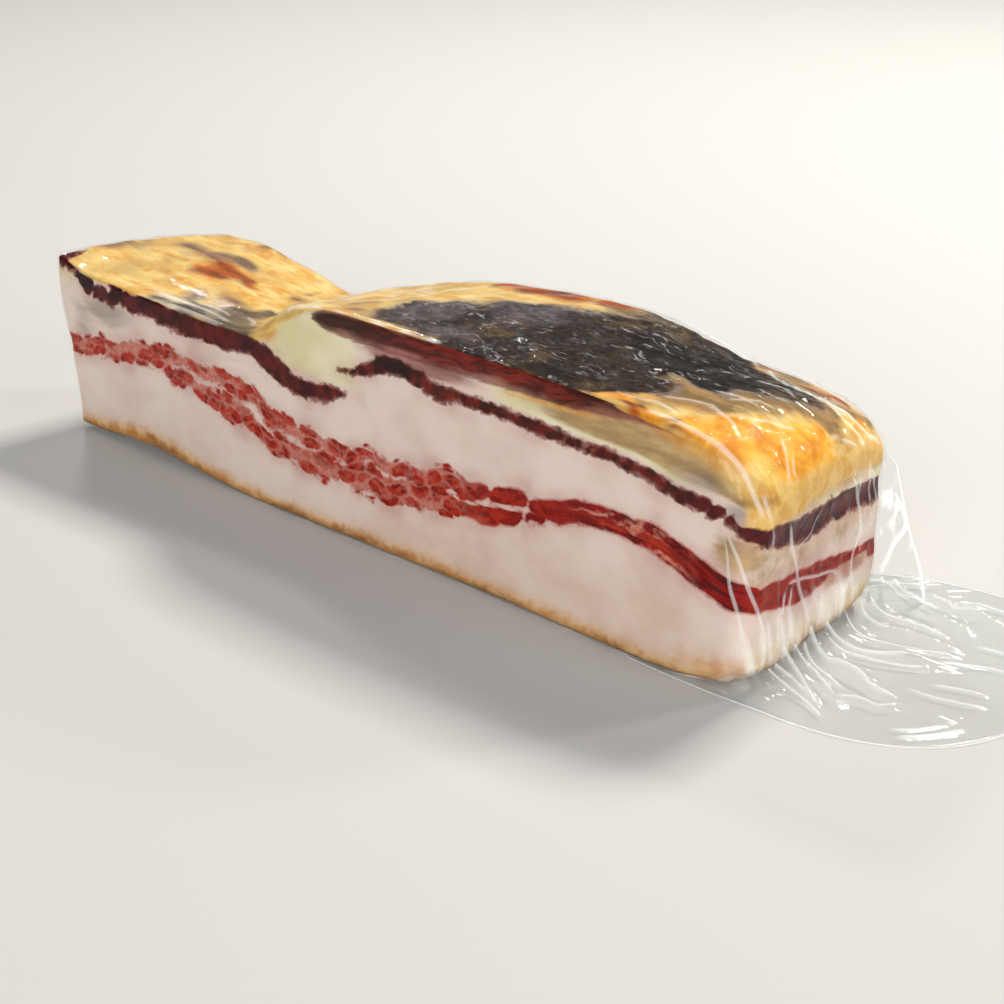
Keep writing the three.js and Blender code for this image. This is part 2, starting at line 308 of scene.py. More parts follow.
def bar_point(u, v, w, grow):
    """Points of the bar, in mm, from points of the cube from -1 to 1, with room added all round."""
    half = np.array([BAR_LENGTH, BAR_WIDTH, BOX_HEIGHT]) / 2
    box = np.stack([u, v, w], -1) * half
    radius = edge_radius(box[:, 0], box[:, 1], box[:, 2] + half[2])[:, None]
    inner = np.clip(box, radius - half, half - radius)
    out = box - inner
    reach = np.linalg.norm(out, axis=1, keepdims=True)
    reach[reach == 0] = 1
    x0, y0, z0 = (inner + out * (radius + grow) / reach).T
    s = np.clip(y0 / BAR_WIDTH + 0.5, 0, 1)
    near_left, near_right = bump((x0 + half[0]) / END_REACH), bump((x0 - half[0]) / END_REACH)
    face_left, face_right = bump((x0 + half[0]) / FACE_REACH), bump((x0 - half[0]) / FACE_REACH)
    ceiling, underside = top_height(x0, s), along(UNDERSIDE, x0)
    z = mix(underside, ceiling, (z0 + half[2]) / BOX_HEIGHT)
    below, above = ceiling - z, z - underside
    z = z + smooth_step(w, 0.4, 1) * crust_relief(x0, y0)
    lean = SIDE_LEAN * z / BOX_HEIGHT
    wave = FACE_WAVE * np.sin(x0 / 23) * np.sin(z / 17 + 1)
    y = y0 + mix(lean + wave, wave - lean, s)
    x = x0 + near_left * (LEFT_SKEW * s - mix(LEFT_FOOT, LEFT_LEAN, smooth_step(z, 10, 50)))
    x = x + near_right * RIGHT_LEAN * (z / 50 - 1) + face_right * right_end_relief(y, z)
    x = x + face_left * FACE_WAVE * np.sin(z / 4) * np.sin(y / 9)
    return np.stack([x, y, z], -1), below, above


print("top of the dome at the front:", round(float(along(FRONT_TOP, 20)), 1), "mm")

# %% [markdown]
# ## A skin of small faces
#
# The six sides of a cube are cut into small cells and moved out to the bar's form. Neighbouring sides
# share their edge points, so the mesh is closed and its shading runs round the corners. The same
# function makes the pork and, a little larger, the film that clings to it. The cells can be drawn
# closer together towards one end, where the film has its finest creases.

# %% Cut a cube into cells
def cube_skin(cells, spread):
    """Points from -1 to 1 and four-cornered faces of a cube's six sides. spread moves the cell lines."""
    nx, ny, nz = cells
    index = -np.ones((nx + 1, ny + 1, nz + 1), int)
    shell = np.zeros(index.shape, bool)
    shell[[0, -1]] = shell[:, [0, -1]] = shell[:, :, [0, -1]] = True
    index[shell] = np.arange(shell.sum())
    lines = [spread(np.linspace(-1, 1, n + 1), axis) for axis, n in enumerate(cells)]
    points = np.stack([lines[a][k] for a, k in enumerate(np.nonzero(shell))], -1)
    faces = []
    for axis in range(3):
        for side in (0, -1):
            sheet = np.take(index, side, axis=axis)
            quads = np.stack([sheet[:-1, :-1], sheet[1:, :-1], sheet[1:, 1:], sheet[:-1, 1:]], -1)
            outward = (side == -1) != (axis == 1)
            faces.append((quads if outward else quads[..., ::-1]).reshape(-1, 4))
    return points, np.concatenate(faces)


def even_spread(line, axis):
    """Cells a little closer together at both ends, where the surface turns a corner."""
    share = (0.4, 0.7, 0.6)[axis]
    return mix(line, np.sin(line * math.pi / 2), share)


def point_normals(points, faces):
    """The surface's direction at each point, from the faces round it."""
    a, b, c, d = (points[faces[:, k]] for k in range(4))
    across = np.cross(c - a, d - b)
    normals = np.zeros_like(points)
    for k in range(4):
        np.add.at(normals, faces[:, k], across)
    return normals / np.linalg.norm(normals, axis=1, keepdims=True)


PORK_CELLS = (280, 72, 64)
PORK_INSET = -0.15                  # mm, so that the film can lie just outside the CAD's surface
cube, pork_faces = cube_skin(PORK_CELLS, even_spread)
pork_mm, below, above = bar_point(*cube.T, PORK_INSET)
pork_normals = point_normals(pork_mm, pork_faces)
print("pork faces:", len(pork_faces), "points:", len(pork_mm))

# %% [markdown]
# ## Where the layers run
#
# On the real bar each layer of lean is a sheet inside the fat, which the knife has cut across. So every
# layer here is a sheet too: its lower and upper height are given along the front cut and along the back
# cut, and run straight from one to the other. Front, back and both ends then show the same layer where
# it should be. For each point of the mesh one number says how many millimetres it lies inside the
# layer, and the material draws the ragged edge from that number.

# %% The sheets of lean, as (x, lower, upper) in mm
MAIN_UPPER = [
    (-138, 27.6, 31.4), (-128, 27.6, 32.2), (-122, 28.6, 33.2), (-116, 29.8, 34.4), (-110, 29.6, 34.8),
    (-104, 30.4, 36.4), (-98, 31, 38), (-92, 31.8, 38.8), (-86, 32.4, 39.4), (-80, 34.6, 39.2),
    (-74, 35.6, 39), (-68, 33.4, 38.2), (-62, 34, 38.4), (-56, 33.4, 37.6), (-50, 32, 37.2),
    (-44, 31.6, 35.8), (-38, 26.8, 32.4), (-32, 26.8, 31.2), (-26, 25.2, 29.8), (-20, 24.4, 29.6),
    (-14, 24.6, 28.8), (-8, 23.8, 27.8), (-2, 25.4, 29.2), (4, 27, 30.4), (10, 24.4, 29), (16, 26.6, 30.6),
    (22, 25.4, 30), (28, 26.6, 32.2), (34, 27.6, 32.4), (40, 26.6, 31.8), (46, 28.6, 32.4), (52, 28.6, 32.8),
    (58, 30, 34.4), (64, 29.8, 33.8), (70, 29.6, 36), (76, 31.5, 38), (82, 32.6, 38.7), (88, 33, 38.9),
    (94, 32.4, 38.4), (100, 31.8, 38.9), (106, 30.1, 37.4), (112, 27.9, 35.3), (118, 25.6, 33.3),
    (124, 24, 31.4), (131, 23.6, 29.6),
]
MAIN_LOWER = [
    (-84, 31, 32), (-80, 28.6, 33), (-74, 30, 33.8), (-68, 28.2, 31.8), (-62, 26, 29.6), (-56, 24.4, 29.8),
    (-50, 23.4, 28.4), (-44, 22.2, 27), (-38, 18.8, 23.4), (-32, 18.2, 24.8), (-26, 17.6, 23.2), (-20, 17.4, 23.8),
    (-14, 16.2, 22.6), (-8, 17.2, 22.4), (-2, 16.6, 23.6), (4, 16.8, 24.6), (10, 16.8, 23.8), (16, 18.2, 25.4),
    (22, 19.2, 25), (28, 19.6, 26), (34, 21, 26.4), (40, 21.2, 26), (46, 21.4, 27.4), (52, 23.6, 28.2), (58, 25.4, 29.6),
    (62, 28, 30),
]
MAIN_UPPER_BACK = [
    (-130, 27, 31), (-90, 30, 36), (-50, 25, 31), (-10, 22, 27), (30, 25, 31), (70, 28, 34),
    (105, 24, 30), (131, 17.5, 20.5),
]
MAIN_LOWER_BACK = [(-120, 26, 27), (-70, 21, 25), (-20, 16, 20), (30, 19, 24), (60, 27, 28)]
UPPER = [
    (-127, 53.4, 57.4), (-122, 48.8, 56), (-116, 47.4, 54.4), (-110, 46.6, 53), (-104, 47.8, 55.2), (-98, 46.6, 54.2),
    (-92, 47.4, 55.2), (-86, 46.6, 54.6), (-80, 45.9, 53.4), (-74, 46, 54), (-68, 45.8, 54.4), (-62, 45.6, 53.8),
    (-56, 45.6, 54.2), (-50, 46, 54.6), (-44, 45.2, 53), (-38, 42.4, 51.8), (-32, 40, 48.6), (-26, 39, 45.6),
    (-20, 39, 45.4), (-14, 40.4, 46.2), (-8, 42.8, 45.8), (-4, 44.6, 45.2),
]
UPPER_BACK = [(-126, 47, 50.5), (-100, 44, 48), (-66, 38, 42.5), (-40, 42, 46), (-10, 44, 47), (2, 45.5, 46)]
SECOND = [
    (-10, 50.8, 51.6), (-4, 51, 53.4), (4, 52.9, 58.2), (10, 54.9, 60.8), (16, 55.4, 60.8), (22, 54, 60),
    (28, 52.2, 58.1), (40, 53.4, 57.9), (52, 52.9, 57.3), (64, 52, 56.5), (76, 51.4, 55.5), (88, 51, 54.9),
    (94, 49.8, 54.3), (100, 48.8, 53.2), (106, 47.2, 51.7), (112, 45.9, 51.4), (118, 45.2, 50.8), (124, 43.9, 49.8),
    (128, 41.8, 46.8), (131, 41, 44.8),
]
SECOND_BACK = [(0, 49, 50), (20, 52, 56), (50, 53.5, 58), (75, 51, 55), (100, 46, 50), (118, 40, 44.5), (131, 32, 37)]
TOP = [
    (-19, 64.2, 65.4), (-15, 62.8, 67.6), (-9, 62, 70), (4, 61.6, 70), (20, 61.8, 70), (35, 62.2, 70), (52, 62.3, 70),
    (70, 62.5, 70), (78, 62.8, 70), (86, 63.4, 68.4), (94, 64.2, 67), (101, 64.4, 66.2), (106, 64.8, 65.4),
]
TOP_BACK = [(-8, 60, 61), (6, 58.6, 70), (30, 60.6, 70), (50, 61.6, 70), (70, 62, 62.5)]
FAINT = [(96, 58.2, 58.6), (103, 57.2, 58.3), (111, 55.9, 57), (118, 54.4, 55.4), (125, 51.6, 52.2)]
FAINT_BACK = [(96, 50, 50.4), (120, 47, 47.6)]
# Single lumps of lean on the front cut, as (x, height, reach along x, reach up), in mm
DARK_LUMPS = [
    (-133, 57.8, 5, 3.2), (-127.5, 56.8, 4.6, 2.8), (-107, 54.4, 3, 1.6), (-103.5, 53.6, 2.6, 1.3),
    (-92, 53.6, 4, 1.1), (-87, 53, 3, 1), (129, 40.4, 2.4, 1.7),
]


def inside_sheet(front, back, x, z, s):
    """Millimetres inside a sheet of lean, negative outside it, never more than its half thickness."""
    lower = mix(along([p[:2] for p in front], x), along([p[:2] for p in back], x), s)
    upper = mix(along([p[::2] for p in front], x), along([p[::2] for p in back], x), s)
    ends = [mix(front[k][0], back[k][0], s) for k in (0, -1)]
    return np.minimum(np.minimum(z - lower, upper - z), np.minimum(x - ends[0], ends[1] - x + 4))


x, y, z = pork_mm.T
s = np.clip(y / BAR_WIDTH + 0.5, 0, 1)
near_right = bump((x - BAR_LENGTH / 2) / 14)
swell = near_right * (1.5 * bump((y + 8) / 13) - 0.8 * smooth_step(y, 3, 11))
main_z = z + near_right * 1.6 * bump((y + 8) / 14)
main_lean = np.maximum(
    inside_sheet(MAIN_UPPER, MAIN_UPPER_BACK, x, main_z, s) + swell, inside_sheet(MAIN_LOWER, MAIN_LOWER_BACK, x, z, s)
)
# Between its two strands only small lumps of lean show
BETWEEN_STRANDS = -0.55
both_front = [(a, along([p[:2] for p in MAIN_LOWER], a), b) for a, _, b in MAIN_UPPER if -84 <= a <= 58]
both_back = [(a, b, along([p[::2] for p in MAIN_UPPER_BACK], a)) for a, b, _ in MAIN_LOWER_BACK]
between_them = np.minimum(inside_sheet(both_front, both_back, x, z, s), BETWEEN_STRANDS)
main_lean = np.maximum(main_lean, between_them)
# A wall of fat parts the marbled left from the solid right
main_lean = main_lean - 1.7 * bump((x - 60.6 - 0.35 * (z - 32) - 4 * s) / 0.9)
# The two rows of lumps just left of that wall have a line of fat between them, and some lumps stand apart
ROW_GAP = [(28, 26.4), (34.4, 27), (40.5, 25.9), (47.3, 27.4), (54.7, 28.9), (61, 30)]
row_gap = along(ROW_GAP, x)
in_rows = smooth_step(x, 28, 34) * (1 - smooth_step(x, 57, 60))
main_lean = main_lean + 0.5 * in_rows - 1.9 * in_rows * bump((z - row_gap) / 1.1)
main_lean = main_lean - 1.6 * bump((x - 47 - 0.3 * (z - 30)) / 0.9) * (z > row_gap)
main_lean = main_lean - 1.6 * bump((x - 36.6 + 0.4 * (z - 23)) / 0.9) * (z < row_gap)
for place, reach, more in ((-128, 9, 0.5), (-53, 10, 0.5), (24, 8, 0.4)):
    main_lean = main_lean + more * bump((x - place) / reach)
last_spot = 2.4 - np.hypot(np.hypot((y - 28) * 0.9, z - 19), (x - 131) / 3)
main_lean = np.maximum(main_lean, last_spot)
upper_lean = inside_sheet(UPPER, UPPER_BACK, x, z, s)
for gap, pale in ((-117.4, 2), (-110.2, 1.2), (-103.6, 1.1), (-126, 1.2)):
    upper_lean = upper_lean - pale * bump((x - gap - 0.5 * (z - 51)) / 0.7)
second_z = z + near_right * 2.2 * bump((y + 10) / 13)
second_lean = inside_sheet(SECOND, SECOND_BACK, x, second_z, s) + near_right * smooth_step(y, -31, -20) * 1.5
second_lean = second_lean - 4.4 * bump((x - 125) / 2.8) * bump((z - 47.4) / 2) * bump((y + 33) / 5)
for gap, pale in ((115.4, 1.7), (120.6, 2.4)):
    second_lean = second_lean - pale * bump((x - gap - 0.8 * (z - 48)) / 0.8) * bump((y + 33) / 6)
top_lean = inside_sheet(TOP, TOP_BACK, x, z, s)
faint_lean = inside_sheet(FAINT, FAINT_BACK, x, z, s)
lump_depth = np.clip((y + BAR_WIDTH / 2) / 14, 0, 1)
lumps_of_lean = np.max([
    (1 - np.hypot((x - a) / rx, (z - b) / rz)) * min(rx, rz) for a, b, rx, rz in DARK_LUMPS
], axis=0) - 3 * lump_depth
dark_lean = np.maximum.reduce([upper_lean, second_lean, lumps_of_lean])
for name, field in (("main", main_lean), ("dark", dark_lean), ("top", top_lean)):
    print(name, "lean: share of the points inside it", round(float((field > 0).mean()), 3))

# %% [markdown]
# ## Where the crust, rind and stains are
#
# The top of the bar dried in the air while it cured. Most of it is ochre fat, and over the dome a dark,
# wrinkled sheet of dried lean shows. Its outline is drawn once as a polygon seen from above. Smaller
# marks are soft spots with a place, a reach along both axes and a strength.

# %% Outline of the dark crust and the marks on the top, in mm
DARK_CRUST = [
    (2, -26), (9, -28.4), (17, -29.4), (24, -31), (30, -35), (66, -35), (74, -31), (80, -28.6), (84, -24.6),
    (88.4, -20.4), (91, -17.4), (89, -12), (84.6, -8.6), (88, -5), (94, -5.2), (100, -4.6), (101.8, 1.3), (106, 1.8),
    (110.4, 2.4), (114.4, 7.4), (118.4, 12.4), (111, 16.8), (99, 21.4), (91.8, 25), (87, 33), (66, 34), (57, 31),
    (54, 24), (58, 19), (52, 17.2), (46, 13), (38.8, 12.8), (29.6, 7), (23.6, 4.6), (17.4, 2.6), (9.4, -1.8),
    (4, -6), (-0.6, -11), (-1.8, -16), (-2.4, -21),
]


def inside_outline(corners, x, y):
    """Millimetres inside a closed outline seen from above, negative outside it."""
    corners = np.array(corners, float)
    nearest = np.full(x.shape, 1e9)
    inside = np.zeros(x.shape, bool)
    for (ax, ay), (bx, by) in zip(corners, np.roll(corners, -1, axis=0)):
        run = (bx - ax) ** 2 + (by - ay) ** 2
        t = np.clip(((x - ax) * (bx - ax) + (y - ay) * (by - ay)) / run, 0, 1)
        nearest = np.minimum(nearest, np.hypot(x - ax - t * (bx - ax), y - ay - t * (by - ay)))
        crosses = (ay > y) != (by > y)
        with np.errstate(divide="ignore", invalid="ignore"):
            inside ^= crosses & (x < (bx - ax) * (y - ay) / (by - ay) + ax)
    return np.where(inside, nearest, -nearest)


# (x, y, reach along x, reach along y, strength)
RED_STAINS = [
    (-92, 2, 12, 6, 1), (-96, -3, 9, 5, 1), (-83, 1, 7, 3.6, 1), (-101, 24, 4, 7, 0.5), (-95, 28, 4, 4, 0.5),
    (14, 27, 12, 8, 1.1), (30, 23, 9, 8, 1), (44, 28, 8, 8, 1.1), (4, 31, 8, 5, 0.8), (-77, 24, 4, 4, 0.45),
    (-67, 17, 3, 7, 0.45), (114, 24, 8, 3.4, 1), (90, -10, 4, 3.4, 0.9), (-121, 27, 7, 5, 0.45), (-128, 14, 4, 7, 0.35),
    (118, -17, 5, 3, 0.45), (122, 2, 3, 6, 0.4), (-70, 28, 5, 4, 0.4), (112, -18, 4, 3, 0.5), (96, 31, 16, 2.4, 0.9),
    (92, -30.6, 8, 1.5, 0.9), (106, -31, 6, 1.3, 0.8), (20, 26, 18, 5, 1.4), (50, 30, 14, 3, 1.2), (9, 26, 9, 4, 1.4),
    (98, -28.6, 10, 1.2, 1.2),
]
GREY_STAINS = [
    (-114, 7, 11, 6, 1), (-103, 8, 10, 6, 1.1), (-95, 11, 8, 4.4, 1), (-127, -3, 5, 6, 0.6), (-131, -14, 5, 9, 0.9),
    (-85, -18, 6, 5, 0.8), (-65, 6, 4, 4, 0.8), (-16, 14, 3, 14, 0.4), (-6, -6, 4, 9, 0.5), (5, 30, 8, 5, 0.5),
    (-10, -19, 5, 5, 0.8), (-102, 24, 4, 8, 0.6), (-73, -13, 6, 3, 0.9), (52, 26, 8, 8, 0.6), (-96, 31, 12, 3, 0.5),
    (-6, -27, 6, 4, 0.9), (-120, 22, 6, 5, 0.35), (100, 22, 10, 4, 0.8),
]
SMOKY = [
    (-57, -28, 11, 8, 1.2), (-63, -21, 10, 8, 1.1), (-72, -30, 11, 4, 1), (-60, -13, 5, 6, 0.9), (-52, -33, 7, 5, 1.1),
    (-88, -29, 7, 3, 0.7), (-75, -24, 9, 3, 0.8),
]
HOLLOW = [(-80, -27, 14, 8, 1.1), (-70, -22, 9, 8, 0.8), (116, 21, 9, 7, 0.9), (106, 13, 6, 5, 0.5)]
AMBER = [
    (122, -22, 16, 13, 1), (128, -6, 8, 12, 1), (112, -28, 10, 6, 1), (98, -29, 9, 4, 0.6), (126, 20, 7, 8, 0.4),
    (-30, 6, 12, 18, 0.7),
    (84, -28, 8, 3, 0.8), (-60, -30, 5, 5, 0.3), (-88, 8, 9, 6, 0.3), (33, 26, 10, 7, 0.4), (6, 18, 10, 3, 0.7),
]
GLAZE = [(97, -13, 12, 10, 1), (108, -2, 12, 10, 1), (118, 10, 9, 10, 1), (88, -26, 8, 4, 0.5), (52, 24, 9, 9, 0.6),
         (124, 24, 6, 6, 0.6), (100, 30, 14, 6, 0.8), (124, 7, 6, 7, 0.7), (88, -27, 7, 3, 0.5)]
GOLDEN = [(128, -29, 8, 10, 1), (116, -34, 9, 2.5, 0.6), (132, -10, 5, 14, 0.7),
          (-30, 6, 13, 20, 0.6), (-20, -20, 10, 8, 0.5)]
WANDER = 9                          # mm between the bends of the outlines, which wander to both sides
WANDER_REACH = 3.4
NOISE_SEED = 5                      # noise_vector starts from the clock where no seed is set


def spots(marks, x, y):
    """Strength of the soft marks at each point, the strongest one winning."""
    return np.max([k * bump((x - a) / rx) * bump((y - b) / ry) for a, b, rx, ry, k in marks], axis=0)


noise.seed_set(NOISE_SEED)
wander =np.array([noise.noise_vector(Vector(p) / WANDER) for p in pork_mm])
wander_x, wander_y = x + WANDER_REACH * wander[:, 0], y + WANDER_REACH * wander[:, 1]
dark_crust = inside_outline(DARK_CRUST, wander_x, wander_y)
print("dark crust covers", round(float((dark_crust > 0).mean()), 3), "of the points seen from above")

# %% Numbers for the material
SKIN = [(-136, 1.2), (-120, 0.9), (-60, 0.8), (-46, 1.6), (-42, 3.4), (-30, 3), (-20, 2), (-10, 0.6), (0, 0.3),
        (75, 0.3), (84, 1), (100, 1.6), (118, 2), (132, 2.2)]
RIND = [(-136, 2.8), (-112, 3.6), (-100, 4.4), (-84, 4.2), (-74, 3.2), (-60, 2.8), (0, 3.2), (80, 3), (132, 2.4)]

facing_front = smooth_step(-pork_normals[:, 1], 0.55, 0.8)
uneven = np.array([noise.noise(Vector((p[0] / 4, p[1] / 4, p[2] / 4))) for p in pork_mm])
bare_strip = smooth_step(-pork_normals[:, 1] + 0.35 * uneven, 0.45, 0.75)
bare_strip = bare_strip * smooth_step(x, -20, -12) * (1 - smooth_step(x, 78, 88))
faces_up = smooth_step(pork_normals[:, 2], 0.5, 0.8)
skin = np.maximum(along(SKIN, x) - below - 3 * bare_strip, 5 * faces_up - 3)
shows = np.maximum(smooth_step(-pork_normals[:, 1], 0.2, 0.6), 1 - smooth_step(x, -131, -128))
skin = skin - 2.5 * smooth_step(lumps_of_lean, -0.8, 0.4) * shows
rind = along(RIND, x) - above
second_top = along([p[::2] for p in SECOND], x)
second_top_back = along([p[::2] for p in SECOND_BACK], x)
notch = smooth_step(x, -46, -41) * (1 - smooth_step(x, -12, 8)) * smooth_step(z, 44, 49)
under_top = smooth_step(x, 34, 58) * smooth_step(z - second_top, -0.6, 1.6) * (1 - 0.6 * smooth_step(x, 104, 118))
on_end = smooth_step(x, 122, 129)
end_cream = on_end * np.maximum(smooth_step(z, 38, 43), 0.5 * (1 - smooth_step(z, 8, 20)))
back_cream = smooth_step(y, 20, 32) * 0.7 * smooth_step(z - mix(second_top, second_top_back, s), 0, 4)
left_cream = (1 - smooth_step(x, -131, -122)) * (1 - smooth_step(below, 2, 14)) * 0.8
cream = np.max([notch, 0.9 * under_top, end_cream, back_cream, left_cream], axis=0)
# Painted shade: the cream fat above the second lean towards the right, at the near corner and on the right end is
# darkened to an olive tan.
dusk = np.max([
    smooth_step(x, 46, 84) * smooth_step(z - second_top, 0.6, 3) * (y < 0), 1.2 * bump((x - 124) / 6) * bump((z - 38) / 5) * (y < 0),
    0.7 * on_end * smooth_step(z, 40, 46), 0.55 * on_end * bump((z - 32) / 6),
], axis=0)
fringe = 0.9 * bump((top_lean + 0.8) / 0.8) * smooth_step(x, 46, 56) * (1 - smooth_step(x, 78, 90))
amber_top = smooth_step(x, 86, 112) * (1 - smooth_step(below, 2, 9))
glow = np.max([
    bump((x - 122) / 18) * bump(above / 10), 0.5 * on_end * bump(above / 14), fringe,
    mix(0.6, 0.9, bump((x + 78) / 40)) * bump(above / 5.5), 
    0.45 * bump((x - 126) / 5) * bump((z - 37) / 4) * facing_front, 1.1 * bump((x + 39) / 7) * bump((z - 57) / 5), bump((x + 28) / 13) * bump(below / 4),
    0.95 * amber_top, smooth_step(z, 41, 47) * on_end, 0.5 * bump((z - 64) / 3) * bump((x + 12) / 7),
], axis=0)
pink = np.max([
    0.8 * bump((x - 24) / 26) * bump((z - 60.5) / 3), 0.5 * bump(np.minimum(main_lean + 1, 0) / 4),
    0.4 * bump(np.minimum(dark_lean + 1, 0) / 3) * (1 - under_top), 0.8 * bump((x - 125) / 5) * bump((z - 47) / 3) * (y < 0),
], axis=0)
# Painted shade: on the cut face the fat next to the dark layers of lean is greyed and darkened, at the left and towards
# the right end.
veil = np.max([
    1.2 * bump((x + 112) / 13) * bump((z - 45) / 5), 0.8 * bump((x + 124) / 6) * bump((z - 40) / 8),
    0.5 * bump((x + 60) / 14) * bump((z - 43) / 3), 0.35 * bump((x - 96) / 18) * bump((z - 49.5) / 2.5),
    1.1 * bump((x - 124) / 5) * bump((z - 48) / 3.4), 0.9 * bump((x - 112) / 12) * bump((z - 54) / 2.6),
], axis=0) * (1 - smooth_step(y, -30, -10))
cool = np.maximum((upper_lean > second_lean) * (1 - 0.75 * smooth_step(x, -44, -34)), on_end)
cool = np.maximum(cool * mix(1, 0.35, bump((x + 66) / 14)), 0.7 * bump((x - 118) / 9) * facing_front)
# Grey and purple-grey tones on the dark crust: partly its own colour, partly painted sheen of the film over it
hide_grey = np.max([
    bump((x - 41) / 9) * bump((y - 13) / 5), 0.7 * bump((x - 14) / 14) * bump((y + 6) / 8),
    0.5 * bump((x - 25) / 16) * bump((y + 22) / 5), 0.6 * bump((x - 112) / 8) * bump((y - 14) / 6),
], axis=0)
violet = np.max([
    bump((x - 8) / 14) * bump((y + 12) / 14), bump((x - 34) / 16) * bump((y - 2) / 12), 0.7 * bump((x - 24) / 14) * bump((y + 24) / 6),
], axis=0)
black = np.max([
    1.6 * bump((x - 86) / 19) * bump((y - 6) / 14), 0.5 * bump((x - 66) / 12) * bump((y + 8) / 8),
    0.8 * bump((x - 62) / 14) * bump((y + 28) / 4), 0.8 * bump((x - 104) / 8) * bump((y - 12) / 5),
], axis=0)
gold_in_notch = smooth_step(z - 50 - 0.75 * (x + 43), -2, 4) * smooth_step(x, -47, -43) * (1 - smooth_step(x, -25, -17))
char = np.maximum(
    1.2 * bump((x + 122) / 5) * bump((z - 52.5) / 3.4), 0.8 * bump((x + 108) / 4) * bump((z - 50.5) / 2)
)
char = np.maximum(char, 0.9 * bump((x - 12) / 10) * bump((z - 58.4) / 3.4)) * facing_front
char = char * smooth_step(dark_lean, -0.6, 0.6)
fields = {
    "violet": violet, "black": black, "gold_in_notch": gold_in_notch, "char": char,
    "end_gold": np.maximum(
        smooth_step(z, 42, 47) * smooth_step(pork_normals[:, 0], 0.4, 0.8),
        smooth_step(x, 112, 124) * smooth_step(z, 50, 55) * facing_front,
    ),
    "main_lean": main_lean, "dark_lean": dark_lean, "top_lean": top_lean, "faint_lean": faint_lean,
    "skin": skin, "rind": rind, "dark_crust": dark_crust,
    "dull": 1.5 * bump((x - 22) / 20) * bump((z - 60.6) / 2.4) * facing_front,
    "cream": cream, "dusk": dusk, "glow": glow, "pink": pink, "veil": veil, "cool": cool, "hide_grey_at": hide_grey,
    "net": 1 - smooth_step(x, 28, 50), "deep": smooth_step(x, 44, 96) * (1 - 0.6 * smooth_step(pork_normals[:, 0], 0.5, 0.9)),
    "end_meat": 1.5 * on_end * bump((y - 13) / 11) * bump((z - 18.5) / 3.5),
    "slivers": smooth_step(x, 72, 82) * (1 - smooth_step(x, 104, 116)),
    "top_dark": np.maximum(1 - smooth_step(x, -6, 30), 0.8 * bump((x - 84) / 12)),
    "low_warm": bump((z - 12) / 13) * smooth_step(x, -40, 40) * (1 - 0.7 * smooth_step(x, 112, 124)) * facing_front,
}
for name, marks in (("red_stain", RED_STAINS), ("grey_stain", GREY_STAINS), ("amber", AMBER), ("glaze", GLAZE),
                    ("golden", GOLDEN), ("smoky", SMOKY), ("hollow", HOLLOW)):
    fields[name] = spots(marks, wander_x, wander_y)
middle_front = [(p[0], p[1] / 2 + p[2] / 2) for p in MAIN_UPPER]
middle_back = [(p[0], p[1] / 2 + p[2] / 2) for p in MAIN_UPPER_BACK]
fibre = np.stack([x, y, z - mix(along(middle_front, x), along(middle_back, x), s)], -1)
print("numbers kept for each point:", len(fields))

# %% [markdown]
# ## Relief of the cut and the crust
#
# Lean dries and shrinks more than fat, so on a cut face each layer of lean is sunk a fraction of a
# millimetre. The dark crust is a wrinkled hide, with folds a few millimetres apart, and the ochre fat
# beside it has soft lumps. These are moved points of the mesh and not only shading, so that they show
# at the outline as well. Nothing comes out further than the film.

# %% Move the points
SUNK = 0.25                         # mm
HIDE_FOLD = 5                       # mm between the folds of the dark crust
HIDE_DEPTH = 0.6
WRINKLE = 2.3                       # mm between its wrinkles
WRINKLE_DEPTH = 0.3
LUMP = 11                           # mm between the lumps of the ochre fat
LUMP_DEPTH = 0.3


def ridged(point, size, seed):
    """Near 1 on sharp crests and 0 or less in the valleys, of folds about that size."""
    place = Vector(point) / size + Vector((seed, 0, 0))
    bent = place + 0.6 * noise.noise_vector(place * 0.6)
    return 1 - 2 * abs(noise.noise(bent))


hide = smooth_step(fields["dark_crust"], -1, 2.5) * smooth_step(skin, -0.3, 0.1)
on_hide = hide > 0.01
folds, wrinkles = np.zeros(len(x)), np.zeros(len(x))
folds[on_hide] = [ridged((p[0] * 0.8, p[1] * 1.2, p[2]), HIDE_FOLD, 3) for p in pork_mm[on_hide]]
wrinkles[on_hide] = [ridged((p[0] * 0.6, p[1] * 1.3, p[2]), WRINKLE, 7) for p in pork_mm[on_hide]]
lumps = np.array([noise.noise(Vector(p) / LUMP) for p in pork_mm])
on_skin = smooth_step(skin, -0.4, 0.4)
lean_here = np.max([smooth_step(f, -0.2, 1) for f in (main_lean, dark_lean, top_lean)], axis=0)
push = hide * (HIDE_DEPTH * (folds - 1) + WRINKLE_DEPTH * (wrinkles - 1))
push = push + LUMP_DEPTH * lumps * mix(0.3, 1, on_skin) - SUNK * (1 - on_skin) * lean_here
push = np.minimum(push, 0.25) * smooth_step(above, 0, 2)
pork_mm = pork_mm + pork_normals * push[:, None]
print("relief from", round(float(push.min()), 2), "to", round(float(push.max()), 2), "mm")

# %% [markdown]
# ## The pork
#
# Cured pork fat is a firm, waxy white that lets light in a little way, so it gets some subsurface
# scattering with a reach of about two millimetres. The main layer of lean is marbled: to the left it is
# bundles of muscle two to four millimetres long with a pale net between them, and to the right it
# closes up to a smooth deep red. Cells from a Voronoi pattern make the bundles. They are stretched
# along the layer, and each cell is kept or dropped as a whole near the edge, which is what makes the
# edge ragged. Colours come in layers, like paint: each has a number that says where it lies, a noise
# that breaks its edge, and the width of that edge.

# %% Patterns, all with sizes in mm
pork_material, tree = new_material("cured_pork_belly_cut_and_dried")
place = add_node(tree, "ShaderNodeTexCoord").outputs["Object"]
in_mm = add_node(tree, "ShaderNodeVectorMath", {0: place, 3: 1 / MM}, operation="SCALE").outputs[0]
along_layer = add_node(tree, "ShaderNodeAttribute", attribute_name="fibre").outputs["Vector"]
numbers = {name: add_node(tree, "ShaderNodeAttribute", attribute_name=name).outputs["Fac"] for name in fields}

